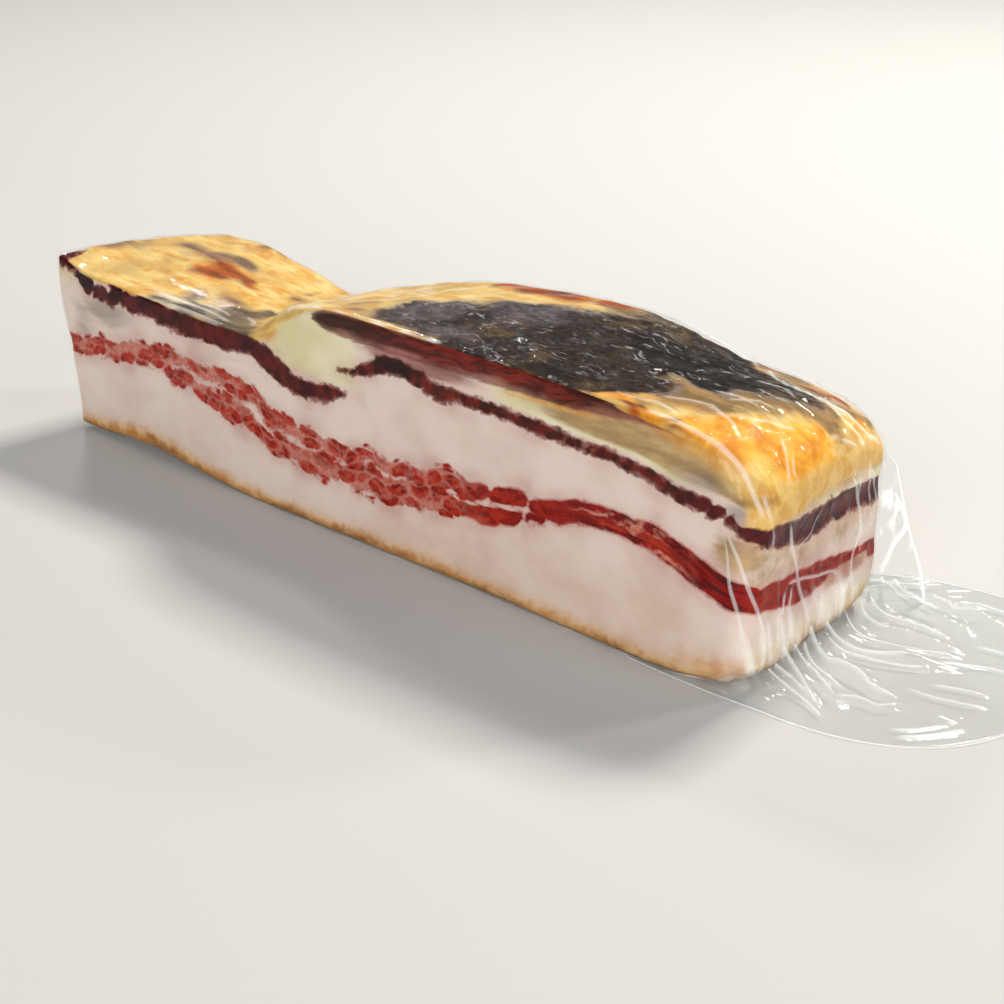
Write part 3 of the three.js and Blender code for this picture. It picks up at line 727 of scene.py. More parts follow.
# name: (kind of coordinates, stretch along x, y and z, size in mm, detail, roughness)
NOISES = {
    "cloud": (in_mm, (1, 1, 1), 16, 2, 0.5),
    "patch": (in_mm, (1, 1, 1), 5, 3, 0.6),
    "grain": (in_mm, (1, 1, 1), 1.2, 1, 0.6),
    "ragged": (along_layer, (0.9, 0.9, 0.7), 1.5, 2, 0.6),
    "strand": (along_layer, (0.16, 0.3, 1), 1.1, 2, 0.65),
    "wisp": (in_mm, (0.3, 0.9, 1), 4.5, 3, 0.6),
    "hide": (in_mm, (0.6, 1.3, 1), 2.6, 4, 0.72),
    "wrinkle": (in_mm, (0.34, 1.2, 1), 6, 2, 0.6),
    "pores": (in_mm, (0.7, 1.2, 1), 1.5, 1, 0.6),
    "teeth": (along_layer, (0.75, 0.75, 0.6), 2.1, 2, 0.5),
}
patterns = {}
for name, (source, stretch, size, detail, rough) in NOISES.items():
    scaled = add_node(tree, "ShaderNodeVectorMath", {0: source, 1: stretch}, operation="MULTIPLY").outputs[0]
    patterns[name] = add_node(tree, "ShaderNodeTexNoise", {
        "Vector": scaled, "Scale": 1 / size, "Detail": detail, "Roughness": rough,
    }).outputs["Fac"]


def sum_of(value, amount, start):
    """value times amount plus start, each a number or a socket."""
    return add_node(tree, "ShaderNodeMath", {0: value, 1: amount, 2: start}, operation="MULTIPLY_ADD").outputs[0]


def product(a, b):
    return add_node(tree, "ShaderNodeMath", {0: a, 1: b}, operation="MULTIPLY").outputs[0]


def step(socket, low, high, first=0.0, last=1.0):
    """A soft step that starts at low and is done at high."""
    return add_node(tree, "ShaderNodeMapRange", {
        "Value": socket, "From Min": low, "From Max": high, "To Min": first, "To Max": last,
    }, interpolation_type="SMOOTHSTEP").outputs[0]


BUNDLE = 3.7                        # mm across a bundle of muscle
LUMP_OF_LEAN = 1.6                  # mm across a lump inside a bundle
SLIVER = 2.4                        # mm across the long bundles at the right
wobble = add_node(tree, "ShaderNodeTexNoise", {"Vector": along_layer, "Scale": 0.4, "Detail": 1}).outputs["Color"]
bent = add_node(tree, "ShaderNodeVectorMath", {0: wobble, 1: (2, 2, 2), 2: along_layer}, operation="MULTIPLY_ADD")
bundle_place = add_node(tree, "ShaderNodeVectorMath", {0: bent.outputs[0], 1: (0.55, 0.6, 1)}, operation="MULTIPLY")
sliver_place = add_node(tree, "ShaderNodeVectorMath", {0: bent.outputs[0], 1: (0.16, 0.3, 1)}, operation="MULTIPLY")
for name, where, size in (("bundle", bundle_place, BUNDLE), ("lump", bundle_place, LUMP_OF_LEAN),
                          ("sliver", sliver_place, SLIVER)):
    cells = add_node(tree, "ShaderNodeTexVoronoi", {
        "Vector": where.outputs[0], "Scale": 1 / size,
    }, feature="F1")
    tones = add_node(tree, "ShaderNodeSeparateColor", {"Color": cells.outputs["Color"]})
    patterns[name + "_edge"] = cells.outputs["Distance"]
    patterns[name + "_tone"] = tones.outputs["Red"]
walls = add_node(tree, "ShaderNodeTexVoronoi", {
    "Vector": bundle_place.outputs[0], "Scale": 1 / BUNDLE,
}, feature="DISTANCE_TO_EDGE")
patterns["bundle_wall"] = sum_of(patterns["ragged"], -0.3, sum_of(walls.outputs["Distance"], 1, 0.15))
knobs = sum_of(patterns["bundle_edge"], -2.2, 1.05)
patterns["knobs"] = sum_of(patterns["lump_edge"], -1.3, sum_of(knobs, 1, 0.5))
print("patterns:", sorted(patterns))

# %% Substances, each two colours mottled by a pattern
# Where the mix of two colours begins and ends in each pattern
MIX_RANGES = {
    "cloud": (0.35, 0.7), "wisp": (0.36, 0.65), "patch": (0.35, 0.67), "grain": (0.38, 0.66),
    "strand": (0.38, 0.62), "hide": (0.38, 0.58), "teeth": (0.34, 0.66), "lump_tone": (0.1, 0.9),
}
# name: (first colour, second colour, pattern)
SUBSTANCES = {
    "fat": ("E4D0C4", "DCC4B8", "cloud"),
    "pink_fat": ("D3A8A0", "BE8C88", "cloud"),
    "veiled_fat": ("AC9C92", "978A80", "wisp"),
    "cream_fat": ("E8DCBC", "DCCFA2", "cloud"),
    # painted shade on the fat next to the dark lean
    "warm_fat": ("DCBC9C", "CCA484", "cloud"),
    "gold_fat": ("E8CA7C", "D2A048", "wisp"),
    # painted shade on the cream fat
    "dusky_fat": ("C0A070", "A27F54", "wisp"),
    "amber_fat": ("E2AE60", "CC8838", "patch"),
    "net": ("BE6A5C", "A65446", "grain"),
    "wall": ("CE8E80", "C07868", "grain"),
    "bundles": ("AE2A18", "82130B", "lump_tone"),
    "pink_lump": ("C4624C", "B04A38", "grain"),
    "pale_streak": ("D8907C", "C66C58", "grain"),
    "meat_tan": ("B88268", "9C604A", "patch"),
    "deep_lean": ("920C08", "500403", "strand"),
    "bright_lean": ("B83C20", "9C2012", "strand"),
    "lean_rim": ("7E2216", "60160E", "grain"),
    "red_brown_lean": ("6E1D11", "380F0A", "teeth"),
    "purple_lean": ("5C121C", "28080E", "patch"),
    "black_lean": ("1E0E10", "120808", "wisp"),
    "top_red_lean": ("7E2014", "460A09", "strand"),
    "dull_lean": ("8E4C44", "5E2822", "wisp"),
    "stained_fat": ("A87870", "86584E", "wisp"),
    "top_dark_lean": ("2C120C", "1C0A08", "strand"),
    "faint_brown": ("6A4A38", "523628", "strand"),
    "rind": ("B47A3C", "7E5024", "wisp"),
    "ochre_skin": ("E2B666", "D29A4A", "patch"),
    "pale_skin": ("EED694", "E6C67A", "cloud"),
    "red_stain": ("B04A10", "6A1C08", "wisp"),
    "grey_stain": ("8A6A60", "644840", "wisp"),
    "smoky": ("74665A", "362C26", "wisp"),
    "hollow": ("DAD4C2", "AAA490", "wisp"),
    "glaze": ("A07E56", "6E5434", "wisp"),
    "amber": ("F6B440", "D88418", "patch"),
    "golden": ("F6DC8E", "ECC45E", "patch"),
    "hide": ("3E2F25", "161110", "hide"),
    "hide_grey": ("8C8384", "5A5252", "grain"),
    "hide_brown": ("745A38", "4A3820", "patch"),
    "hide_line": ("B2AEB0", "8A8688", "grain"),
    "hide_violet": ("6E646A", "4A4246", "hide"),
    "hide_black": ("1E1715", "0E0B0A", "hide"),
}
colours = {}
mixes = {name: step(patterns[name], low, high) for name, (low, high) in MIX_RANGES.items()}
for name, (first, second, pattern) in SUBSTANCES.items():
    mottled = add_node(tree, "ShaderNodeMix", {0: mixes[pattern], 6: linear(first), 7: linear(second)}, data_type="RGBA")
    colours[name] = mottled.outputs[2]
print("substances:", len(colours))

# %% Marbling: where the lean of the main layer shows
LEAST, MOST = 0.35, 1               # how ragged it is at the right and at the left
raggedness = add_node(tree, "ShaderNodeMapRange", {"Value": numbers["net"], "To Min": LEAST, "To Max": MOST}).outputs[0]
swelling = sum_of(patterns["bundle_tone"], 1.2, -0.55)
swelling = sum_of(patterns["ragged"], 1, swelling)
swelling = sum_of(patterns["knobs"], 1.25, swelling)
numbers["dark_knobs"] = sum_of(patterns["knobs"], 0.75, numbers["dark_lean"])
numbers["main_ragged"] = sum_of(swelling, raggedness, numbers["main_lean"])
lean_share = step(numbers["main_ragged"], -0.35, 0.3)
broken = step(patterns["patch"], 0.36, 0.52)
pale_wall = product(product(step(patterns["bundle_wall"], 0.02, 0.15, 0.4, 0), broken), numbers["net"])
pale_line = product(step(patterns["lump_edge"], 0.4, 0.7, 0, 0.5), numbers["net"])
pale_corner = product(step(patterns["bundle_edge"], 0.52, 0.74, 0, 0.65), numbers["net"])
pale_sliver = product(product(step(patterns["sliver_edge"], 0.5, 0.72, 0, 0.8), broken), numbers["slivers"])
bright_sliver = product(step(patterns["sliver_tone"], 0.4, 0.9, 0, 0.75), numbers["slivers"])
# Fine pale lines on the dark crust, partly fat smears and partly painted reflections on the film's wrinkles, run where
# a long-stretched noise crosses its middle value
from_middle = add_node(tree, "ShaderNodeMath", {0: patterns["wrinkle"], 1: 0.5}, operation="SUBTRACT").outputs[0]
from_middle = add_node(tree, "ShaderNodeMath", {0: from_middle}, operation="ABSOLUTE").outputs[0]
smear_and_sheen_lines = product(step(from_middle, 0.002, 0.02, 0.75, 0), step(patterns["patch"], 0.46, 0.58))
print("bundles of", BUNDLE, "mm with lumps of", LUMP_OF_LEAN, "mm")

# %% Lay the colours over each other
# (where, pattern that breaks the edge, by how much, begins at, ends at, strength, substance)
PAINT = [
    ("cream", "patch", 0.5, 0.2, 0.75, 1, "cream_fat"),
    ("low_warm", "cloud", 1.2, 0, 1.1, 0.3, "warm_fat"),
    # painted shade on the cream fat
    ("dusk", "wisp", 0.7, 0.1, 0.85, 0.95, "dusky_fat"),
    ("pink", "cloud", 0.6, 0.1, 0.9, 0.75, "pink_fat"),
    # painted shade on the fat next to the dark lean
    ("veil", "wisp", 0.8, 0.2, 1, 0.8, "veiled_fat"),
    ("dull", "wisp", 0.6, 0.3, 0.9, 0.9, "stained_fat"),
    ("glow", "patch", 0.5, 0.2, 0.9, 0.9, "amber_fat"),
    ("gold_in_notch", "wisp", 0.9, 0.1, 0.7, 0.95, "gold_fat"),
    ("end_gold", "patch", 0.6, 0.2, 0.8, 0.35, "golden"),
    ("end_meat", "patch", 0.8, 0.25, 0.9, 0.8, "meat_tan"),
    ("faint_lean", "patch", 4, -1.6, 1.4, 0.45, "faint_brown"),
    ("main_ragged", "grain", 0.5, -1.1, 0.15, 0.75, "net"),
    ("LEAN", None, 0, 0, 0, 1, "bundles"),
    ("dark_knobs", "ragged", 2.2, -0.6, 0.4, 0.8, "lean_rim"),
    ("dark_knobs", "teeth", 2.6, 0, 1.1, 1, "red_brown_lean"),
    ("char", "wisp", 0.6, 0.3, 0.8, 0.9, "black_lean"),
    ("top_lean", "strand", 2, -0.7, 0.4, 0.85, "dull_lean"),
    ("top_lean", "wisp", 5, 0, 2.4, 0.95, "top_red_lean"),
    ("rind", "patch", 4, -5, 2, 0.8, "warm_fat"),
    ("rind", "patch", 5, -2.4, 1.6, 0.6, "amber_fat"),
    ("rind", "patch", 5, -0.8, 2.4, 0.85, "rind"),
    ("skin", "patch", 1.4, -0.35, 0.35, 1, "SKIN"),
]
SKIN_PAINT = [
    ("hollow", "wisp", 0.7, 0.25, 0.8, 0.85, "hollow"),
    ("grey_stain", "wisp", 1.1, 0.1, 1, 0.9, "grey_stain"),
    ("red_stain", "wisp", 0.9, 0.2, 0.85, 0.92, "red_stain"),
    ("glaze", "wisp", 0.7, 0.25, 0.6, 0.9, "glaze"),
    ("amber", "patch", 0.6, 0.3, 0.65, 0.9, "amber"),
    ("golden", "patch", 0.6, 0.3, 0.8, 0.85, "golden"),
    ("smoky", "wisp", 0.9, 0.2, 0.75, 0.92, "smoky"),
    # a grey fringe round the dark crust, partly painted sheen of the film
    ("dark_crust", "wisp", 6, -4.5, 0.5, 0.55, "hide_grey"),
    ("dark_crust", "hide", 7, -1.6, 1.2, 1, "HIDE"),
]


def share_of(where, pattern, amount, low, high, strength):
    """How much of a coat shows: its number, broken by a pattern, as a soft step up to its strength."""
    value = sum_of(patterns[pattern], amount, numbers[where])
    return step(value, low + amount / 2, high + amount / 2, 0, strength)


def lay(under, coats):
    """Lays coats of (share, colour) over a colour and gives the last colour."""
    for share, colour in coats:
        under = add_node(tree, "ShaderNodeMix", {0: share, 6: under, 7: colour}, data_type="RGBA").outputs[2]
    return under


colours["bundles"] = lay(colours["bundles"], [
    (pale_line, colours["pink_lump"]), (pale_wall, colours["wall"]), (pale_corner, colours["wall"]),
    (numbers["deep"], colours["deep_lean"]), (bright_sliver, colours["bright_lean"]),
    (pale_sliver, colours["pale_streak"]),
])
colours["red_brown_lean"] = lay(colours["red_brown_lean"], [(product(numbers["cool"], 0.85), colours["purple_lean"])])
colours["top_red_lean"] = lay(colours["top_red_lean"], [(product(numbers["top_dark"], 0.9), colours["top_dark_lean"])])
# The dark crust: its own brown and black patches, with grey and purple-grey tones and pale lines that are partly
# painted sheen and reflections of the film
colours["HIDE"] = lay(colours["hide"], [
    (product(step(patterns["cloud"], 0.46, 0.58), step(patterns["patch"], 0.4, 0.56, 0, 0.9)), colours["hide_brown"]),
    (step(patterns["hide"], 0.54, 0.64, 0, 0.4), colours["hide_grey"]),
    (share_of("violet", "cloud", 1.6, 0.2, 0.9, 0.8), colours["hide_violet"]),
    (share_of("black", "patch", 1, 0.2, 0.8, 0.9), colours["hide_black"]),
    (share_of("hide_grey_at", "wisp", 1, 0.3, 0.9, 0.7), colours["hide_grey"]),
    (smear_and_sheen_lines, colours["hide_line"]),
])
skin_colour = lay(colours["ochre_skin"], [
    (step(patterns["wisp"], 0.4, 0.6, 0, 0.8), colours["pale_skin"]),
    (step(patterns["cloud"], 0.48, 0.72, 0, 0.3), colours["grey_stain"]),
])
colours["SKIN"] = lay(skin_colour, [(share_of(*row[:6]), colours[row[6]]) for row in SKIN_PAINT])
pork_colour = lay(colours["fat"], [
    (lean_share if row[0] == "LEAN" else share_of(*row[:6]), colours[row[6]]) for row in PAINT
])
print("coats of paint:", len(PAINT) + len(SKIN_PAINT))

# %% Surface: fine bump, gloss and light inside the fat
bumps = add_node(tree, "ShaderNodeBump", {"Height": patterns["pores"], "Strength": 0.4, "Distance": 0.5 * MM})
roughness = step(patterns["patch"], 0.2, 0.8, 0.4, 0.55)
pork_shader = add_node(tree, "ShaderNodeBsdfPrincipled", {
    "Base Color": pork_colour, "Roughness": roughness, "Normal": bumps.outputs[0], "IOR": 1.44,
    "Subsurface Weight": 0.3, "Subsurface Radius": (1, 0.45, 0.3), "Subsurface Scale": 1.6 * MM,
    "Specular IOR Level": 0.05,
})
add_node(tree, "ShaderNodeOutputMaterial", {"Surface": pork_shader.outputs[0]})

pork = show("pancetta_pork", pork_mm * MM, pork_faces, pork_material)
for name, field in fields.items():
    field = np.broadcast_to(field, x.shape)
    pork.data.attributes.new(name, "FLOAT", "POINT").data.foreach_set("value", np.asarray(field, np.float32))
pork.data.attributes.new("fibre", "FLOAT_VECTOR", "POINT").data.foreach_set("vector", fibre.astype(np.float32).ravel())
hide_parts("pancetta_slab")
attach(pork, "root")
print("pork triangles:", 2 * len(pork_faces))

# %% [markdown]
# ## Creases in the film
#
# The bag was drawn down on the pork by vacuum. Over the left two thirds it lies so tight that only its
# gloss shows. Towards the right end there is film to spare, which has folded into fine ridges that run
# down over the near corner and the end. Each ridge here is a line of points on the bar with a height
# and a width, and the film is lifted along it. A second number keeps how whitish the film is: whitish
# where it is creased, because a folded film looks whitish, and painted highlights along the sides of
# the ridges and on a few edges of the bar.

# %% Lines of the creases, as points in mm with a height and a width
CREASES = [
    ([(129.2, -21.5, 51.5), (129.4, -17.6, 41.6), (129.2, -13.9, 31.9), (129.4, -9.3, 20.5), (130.4, -4.6, 10), (131, -2, 5)], 1.2, 0.5),
    ([(129.7, -20.2, 49.3), (129, -14.8, 36), (129.4, -11.3, 25.1), (130, -6.7, 15), (131, -3.5, 8)], 0.7, 0.5),
    ([(117.2, -33, 50.9), (119.6, -33, 46.5), (122, -33, 39.4), (123.6, -33, 30.9), (125.8, -32.5, 24.3), (127.4, -31.6, 17.4), (128.3, -30.8, 12)], 0.7, 0.42),
    ([(121.2, -33, 45.2), (124.7, -32.5, 38.8), (127.8, -30.8, 29.7), (129.5, -28.6, 23.3), (130.3, -26, 16.1), (130.6, -24.5, 9)], 0.9, 0.45),
    ([(126.1, -27, 55.7), (128.8, -26.8, 49.9), (129.6, -25.2, 43), (129.5, -23.8, 37)], 0.5, 0.5),
    ([(129.8, -16.9, 26.6), (130, -17.4, 22.2), (130.5, -18.4, 16)], 0.9, 0.5),
    ([(129.8, -13.6, 26.2), (130, -14.5, 21), (130.5, -16, 15)], 0.9, 0.5),
    ([(129.8, -17.6, 26.6), (129.8, -9.2, 25), (129.9, -1.8, 22.8), (130, 5.2, 21.3), (130, 8.5, 18.9), (130, 10.8, 18.4)], 0.8, 0.45),
    ([(129.8, 10.5, 51.1), (129.6, 13.6, 43.8), (129.4, 16.9, 35.4), (129.6, 18.6, 27.6), (130, 16.4, 21.8), (130.4, 14.6, 14.7), (130.6, 11.7, 9)], 0.8, 0.45),
    ([(129.9, 14.7, 48.5), (129.6, 17.2, 36.8), (129.8, 19.9, 27.2), (130.3, 18.7, 18.5)], 0.6, 0.4),
    ([(129.8, 19.6, 46.7), (129.6, 22.4, 37.7), (129.7, 24.3, 32)], 0.6, 0.4),
    ([(130, 17.6, 49.5), (129.6, 24.1, 39.9), (129.8, 28, 31)], 0.6, 0.4),
    ([(129, 28, 48), (129, 29.5, 42), (129, 30.5, 35)], 0.6, 0.45),
    ([(129.7, 20.3, 26.3), (129.7, 23.5, 26.4), (129.2, 29, 30.5)], 0.5, 0.35),
    ([(130, 24.5, 21), (129.8, 28, 23.5), (129, 31, 26.5)], 0.5, 0.35),
    ([(129.8, -3.7, 43.7), (129.6, -4.1, 40.2), (129.5, -6.3, 36.5), (129.6, -11.8, 34.8), (129.6, -17.5, 35)], 0.4, 0.35),
    ([(129.8, 13.8, 52), (128.8, 10.2, 55.2), (127.6, 5.6, 57)], 0.7, 0.45),
    ([(118, 16, 61), (124.9, 14.4, 58.3), (128.3, 15.8, 54.8), (130, 16.6, 49.8)], 0.8, 0.5),
    ([(96, 22, 62), (106.3, 14.5, 63.8), (114.5, 14.1, 62.4), (121.3, 17.5, 59.2), (127.4, 19.1, 54.9), (129.7, 25.8, 48.5)], 0.9, 0.6),
    ([(60, 30, 66.6), (72, 30, 64), (84, 28, 62.4), (94.8, 22.5, 62)], 0.8, 0.6),
    ([(88, 33, 60.4), (100, 30, 59.6), (112, 26.5, 58.8), (121, 24, 57.4)], 0.9, 0.6),
    ([(121, -12, 62.8), (123.7, -14, 61.4), (127.3, -17.4, 57), (129.5, -18.5, 52.5)], 0.7, 0.45),
    ([(125.3, -12.5, 60.1), (127.8, -15.5, 56.5), (129.6, -15.2, 52.4)], 0.6, 0.4),
    ([(109, -32.6, 62.7), (113.1, -32.6, 58.7), (115.8, -32.6, 56.2), (118.4, -32.6, 53.4)], 0.6, 0.45),
    ([(93.3, -30.3, 67.2), (100.1, -29.6, 66.8), (107.8, -30, 66), (117.1, -29.8, 63.4), (122.9, -29.4, 59), (126, -29, 53.8), (129.2, -27.7, 47)], 0.6, 0.6),
    ([(98, -8, 66.4), (106.6, -6.4, 66.2), (114, -9, 65.4), (121.3, -8.4, 62.9)], 0.6, 0.5),
    ([(104, 4, 65.4), (111, 1, 65.3), (117, 3.5, 64)], 0.5, 0.4),
    ([(110, -18, 66.2), (117, -14, 65.2), (124, -5, 61.4)], 0.5, 0.45),
    # A broad, low line down the near upright corner, whose whiteness is a painted highlight
    ([(128.8, -30.6, 46), (129.2, -30.4, 38), (129.6, -30, 29)], 0.3, 1),
    ([(-118, 33.4, 30), (-60, 33.8, 24), (0, 33.6, 27), (60, 33.8, 22), (110, 33.4, 26)], 0.5, 0.7),
    ([(20, 33.4, 62), (34, 33.6, 48), (30, 33.6, 30), (44, 33.6, 12)], 0.5, 0.6),
    ([(100, 33.2, 55), (108, 33.4, 40), (118, 33, 22), (124, 32, 6)], 0.8, 0.6),
    ([(90, 33.3, 57), (95, 33.5, 40), (104, 33.3, 20), (112, 33.2, 4)], 0.7, 0.55),
]


def distance_to_line(points, line):
    """Distance of each point from a line through some corners."""
    nearest = np.full(len(points), 1e9)
    line = np.array(line, float)
    for a, b in zip(line[:-1], line[1:]):
        run = b - a
        t = np.clip((points - a) @ run / (run @ run), 0, 1)
        nearest = np.minimum(nearest, np.linalg.norm(points - a - t[:, None] * run, axis=1))
    return nearest


def smoothed(line, steps=6):
    """The same line with its corners rounded, by running a smooth curve through its points."""
    line = np.array(line, float)
    if len(line) < 3:
        return line
    t = np.arange(len(line))
    fine = np.linspace(0, len(line) - 1, (len(line) - 1) * steps + 1)
    return np.stack([along(list(zip(t, line[:, k])), fine) for k in range(line.shape[1])], -1)


def creased(points, creases, flank_highlights=0.3):
    """How far the film is lifted at each point, and how whitish it is there: whitish on the crest, with painted
    highlights along both its sides.
    """
    lift, white = np.zeros(len(points)), np.zeros(len(points))
    for line, height, width in creases:
        line = smoothed(line)
        near = np.all((points > line.min(0) - 6 * width) & (points < line.max(0) + 6 * width), axis=1)
        if not near.any():
            continue
        away_from = distance_to_line(points[near], line)
        crest = np.exp(-np.sqrt((away_from / width) ** 2 + 0.05))
        ends = np.minimum(
            np.linalg.norm(points[near] - line[0], axis=1), np.linalg.norm(points[near] - line[-1], axis=1)
        )
        fade = smooth_step(ends, -1, 4)
        # Painted highlights run along both sides of each crest; the crest itself is whitish from folding
        flank_highlight = bump((away_from - width) / (0.45 * width))
        lift[near] = np.maximum(lift[near], height * crest * fade)
        white[near] = np.maximum(white[near], (crest + flank_highlights * flank_highlight) * fade * min(1, 0.6 + height / 2))
    return lift, white


print("creases over the bar:", len(CREASES))

FILM_GAP = 0.35                     # mm from the CAD's surface
# Creases seen from above, which lie on the top of the bar
TOP_CREASES = [
    # The first four run along the hollow at the left: their lift catches the lamps, and their whiteness is a painted
    # highlight of its glossy streaks
    ([(-94, -27), (-82, -26), (-68, -26), (-56, -29)], 0.35, 0.9), ([(-84, -31), (-70, -31), (-56, -32)], 0.35, 0.8),
    ([(-80, -22), (-70, -21), (-61, -24)], 0.3, 0.7), ([(-62, -18), (-54, -22), (-48, -28)], 0.35, 0.8),
    ([(92, -22), (102, -17), (112, -20), (120, -26)], 0.4, 0.7), ([(104, -12), (110, -6), (118, -5)], 0.4, 0.7),
    ([(84, -27), (94, -25), (104, -27)], 0.35, 0.6), ([(100, 8), (108, 10), (116, 6)], 0.4, 0.6),
]
# Places where the film is finely creped and sparkles, with a reach along both axes and a strength
SPARKLES = [
    (-84, 4, 10, 8, 0.6), (-72, -22, 14, 8, 0.7), (-48, -22, 8, 10, 0.7), (-30, 10, 10, 20, 0.3), (20, 24, 20, 6, 0.6),
    (122, -15, 9, 9, 0.55),
]


def on_top(x, y):
    """The point of the film's rest form above a place."""
    height = top_height(np.array([x], float), np.array([y / BAR_WIDTH + 0.5])) + crust_relief(x, y)
    return (x, y, float(height[0]) + FILM_GAP)


# %% The film over the bar
FILM_CELLS = (280, 150, 130)
RIPPLE = 4.2                        # mm between the fine ripples at the right end


def right_spread(line, axis):
    """Cells closer together towards the right end, where the creases are."""
    if axis == 0:
        t = (line + 1) / 2
        return 2 * mix(t, np.sin(t * math.pi / 2), 0.75) - 1
    return mix(line, np.sin(line * math.pi / 2), 0.35)


cube, film_faces = cube_skin(FILM_CELLS, right_spread)
film_mm, _, film_above = bar_point(*cube.T, FILM_GAP)
film_normals = point_normals(film_mm, film_faces)
on_top_creases = [([on_top(*p) for p in line], height, width) for line, height, width in TOP_CREASES]
lift, white = creased(film_mm, CREASES + on_top_creases)
loose = smooth_step(film_mm[:, 0], 70, 118)
ripples = np.array([noise.noise(Vector((p[0] * 0.8, p[1] * 1.1, p[2] * 0.5)) / RIPPLE) for p in film_mm])
fine_ripples = np.array([noise.noise(Vector((p[0] * 0.6 + 9, p[1] * 1.4, p[2] * 0.4)) / 1.9) for p in film_mm])
over_hide = smooth_step(inside_outline(DARK_CRUST, film_mm[:, 0], film_mm[:, 1]), -2, 3) * smooth_step(film_normals[:, 2], 0.5, 0.8)
ripple = np.maximum(ripples, -0.1) * mix(0.08, 0.45, loose)
ripple = ripple + np.maximum(fine_ripples, -0.1) * (mix(0.02, 0.12, loose) + 0.12 * over_hide)
at_right = smooth_step(film_mm[:, 0], 84, 108) * smooth_step(film_normals[:, 2], 0.1, 0.6)
slack = np.maximum(over_hide, at_right)
sparkle = spots(SPARKLES, film_mm[:, 0], film_mm[:, 1]) * smooth_step(film_normals[:, 2], 0.3, 0.8)
crinkled = slack > 0.05
creped_patches = np.array([noise.noise(Vector((p[0] / 12, p[1] / 7, 2.5))) for p in film_mm])
creped_patches = smooth_step(creped_patches, -0.05, 0.2)
for size, height, seed in ((7.5, 0.4, 11), (3.6, 0.22, 12)):
    crest = np.array([ridged((p[0] * 0.7, p[1], p[2] * 0.6), size, seed) for p in film_mm[crinkled]])
    ripple[crinkled] += height * np.clip(crest, 0, 1) ** 6 * slack[crinkled] * mix(0.45, 1, loose[crinkled])
rise = (ripple + lift) * smooth_step(film_above, 0.5, 3)
film_mm = film_mm + film_normals * rise[:, None]
film_mm[:, 2] = np.maximum(film_mm[:, 2], 0.03)
creping = np.max([0.8 * over_hide * creped_patches, 0.3 * at_right, 1.8 * sparkle], axis=0)
# Where the film bends over the front edge, a painted highlight: a thin, broken white line laid into its whiteness
bend = bump((film_normals[:, 1] + 0.6) / 0.2) * smooth_step(film_mm[:, 2], 56, 60)
bend = bend * smooth_step(film_mm[:, 0], -40, -30) * (1 - smooth_step(film_mm[:, 0], 26, 40))
bend = bend * np.array([0.75 + 0.9 * noise.noise(Vector((p[0] / 5, 3, 8))) for p in film_mm])
# Painted highlight: a thin, broken white line where the film turns under the bar's front foot
painted_foot_highlight = 0.8 * bump((film_normals[:, 2] + 0.7) / 0.22) * bump((film_normals[:, 1] + 0.7) / 0.4)
painted_foot_highlight = painted_foot_highlight * np.array([0.8 + 1.2 * noise.noise(Vector((p[0] / 9, 5, 2))) for p in film_mm])
white = np.maximum(white, np.clip(np.maximum(bend, painted_foot_highlight), 0, 1))
# On the end and round the near foot the film is bunched, and so many fine folds make it look whitish; near the foot
# this whiteness is also painted light, for the brightly lit film there
fx, fy, fz = film_mm.T
streaks = np.array([noise.noise(Vector((p[1] / 2.4 + p[2] / 9, p[2] / 14, p[0] / 6))) for p in film_mm])
bunched_haze_and_painted_light = smooth_step(fx, 122, 128) * bump((fz - 11) / 10) * (1 - smooth_step(fy, 14, 24))
bunched_haze_and_painted_light = np.maximum(bunched_haze_and_painted_light, 1.15 * smooth_step(fx, 122, 128) * bump((fz - 8) / 5) * (1 - smooth_step(fy, 18, 26)))
bunched_haze_and_painted_light = np.maximum(bunched_haze_and_painted_light, bump((fx - 124) / 7) * bump((fz - 5) / 6) * smooth_step(-fy, 22, 28))
bunched_haze_and_painted_light = np.maximum(bunched_haze_and_painted_light, 0.9 * smooth_step(fx, 126, 129) * bump((fy - 24) / 5) * bump((fz - 31) / 5))
white = np.maximum(white, np.clip(bunched_haze_and_painted_light * (0.6 + 0.6 * streaks), 0, 1))
print("film over the bar:", 2 * len(film_faces), "triangles, lifted up to", round(float(rise.max()), 2), "mm")

# %% [markdown]
# ## The tail of the bag
#
# Past the right end the two films of the bag lie on each other and on the table. Pleats start at the
# bar's foot and fan out. The upper film is a fan-shaped grid: one side follows the foot of the bar,
# the other the outline of the bag, so the cells already run the way the pleats do. Close to the bar
# the film climbs its end a little way, in scallops.

# %% Outline of the tail and its pleats
TAIL_START, TAIL_END = 96, 187
TAIL_FRONT = [(96, -34.3), (120, -34.6), (135, -33.6)]
TAIL_BACK = [(96, 34.6), (108, 37.5), (120, 46.5), (132, 53), (146, 57), (160, 59)]
CORNER_FULLNESS = 2.2
SHEET = 1.2
CLIMB, CLIMB_REACH, SCALLOP = 6.5, 3.6, 13
PLEATS = [
    ((116, -12), (152, -20), 3.4, 3), ((122, -1), (164, -9), 3, 2.8), ((127, 5), (168, 16), 2.6, 2.8),
    ((129, 20), (166, 24), 2.4, 2.8), ((128, 36), (164, 33), 3, 3), ((137, 43), (172, 42), 2.4, 2.6),
    ((150, -14), (180, -3), 1.4, 3.4),
]
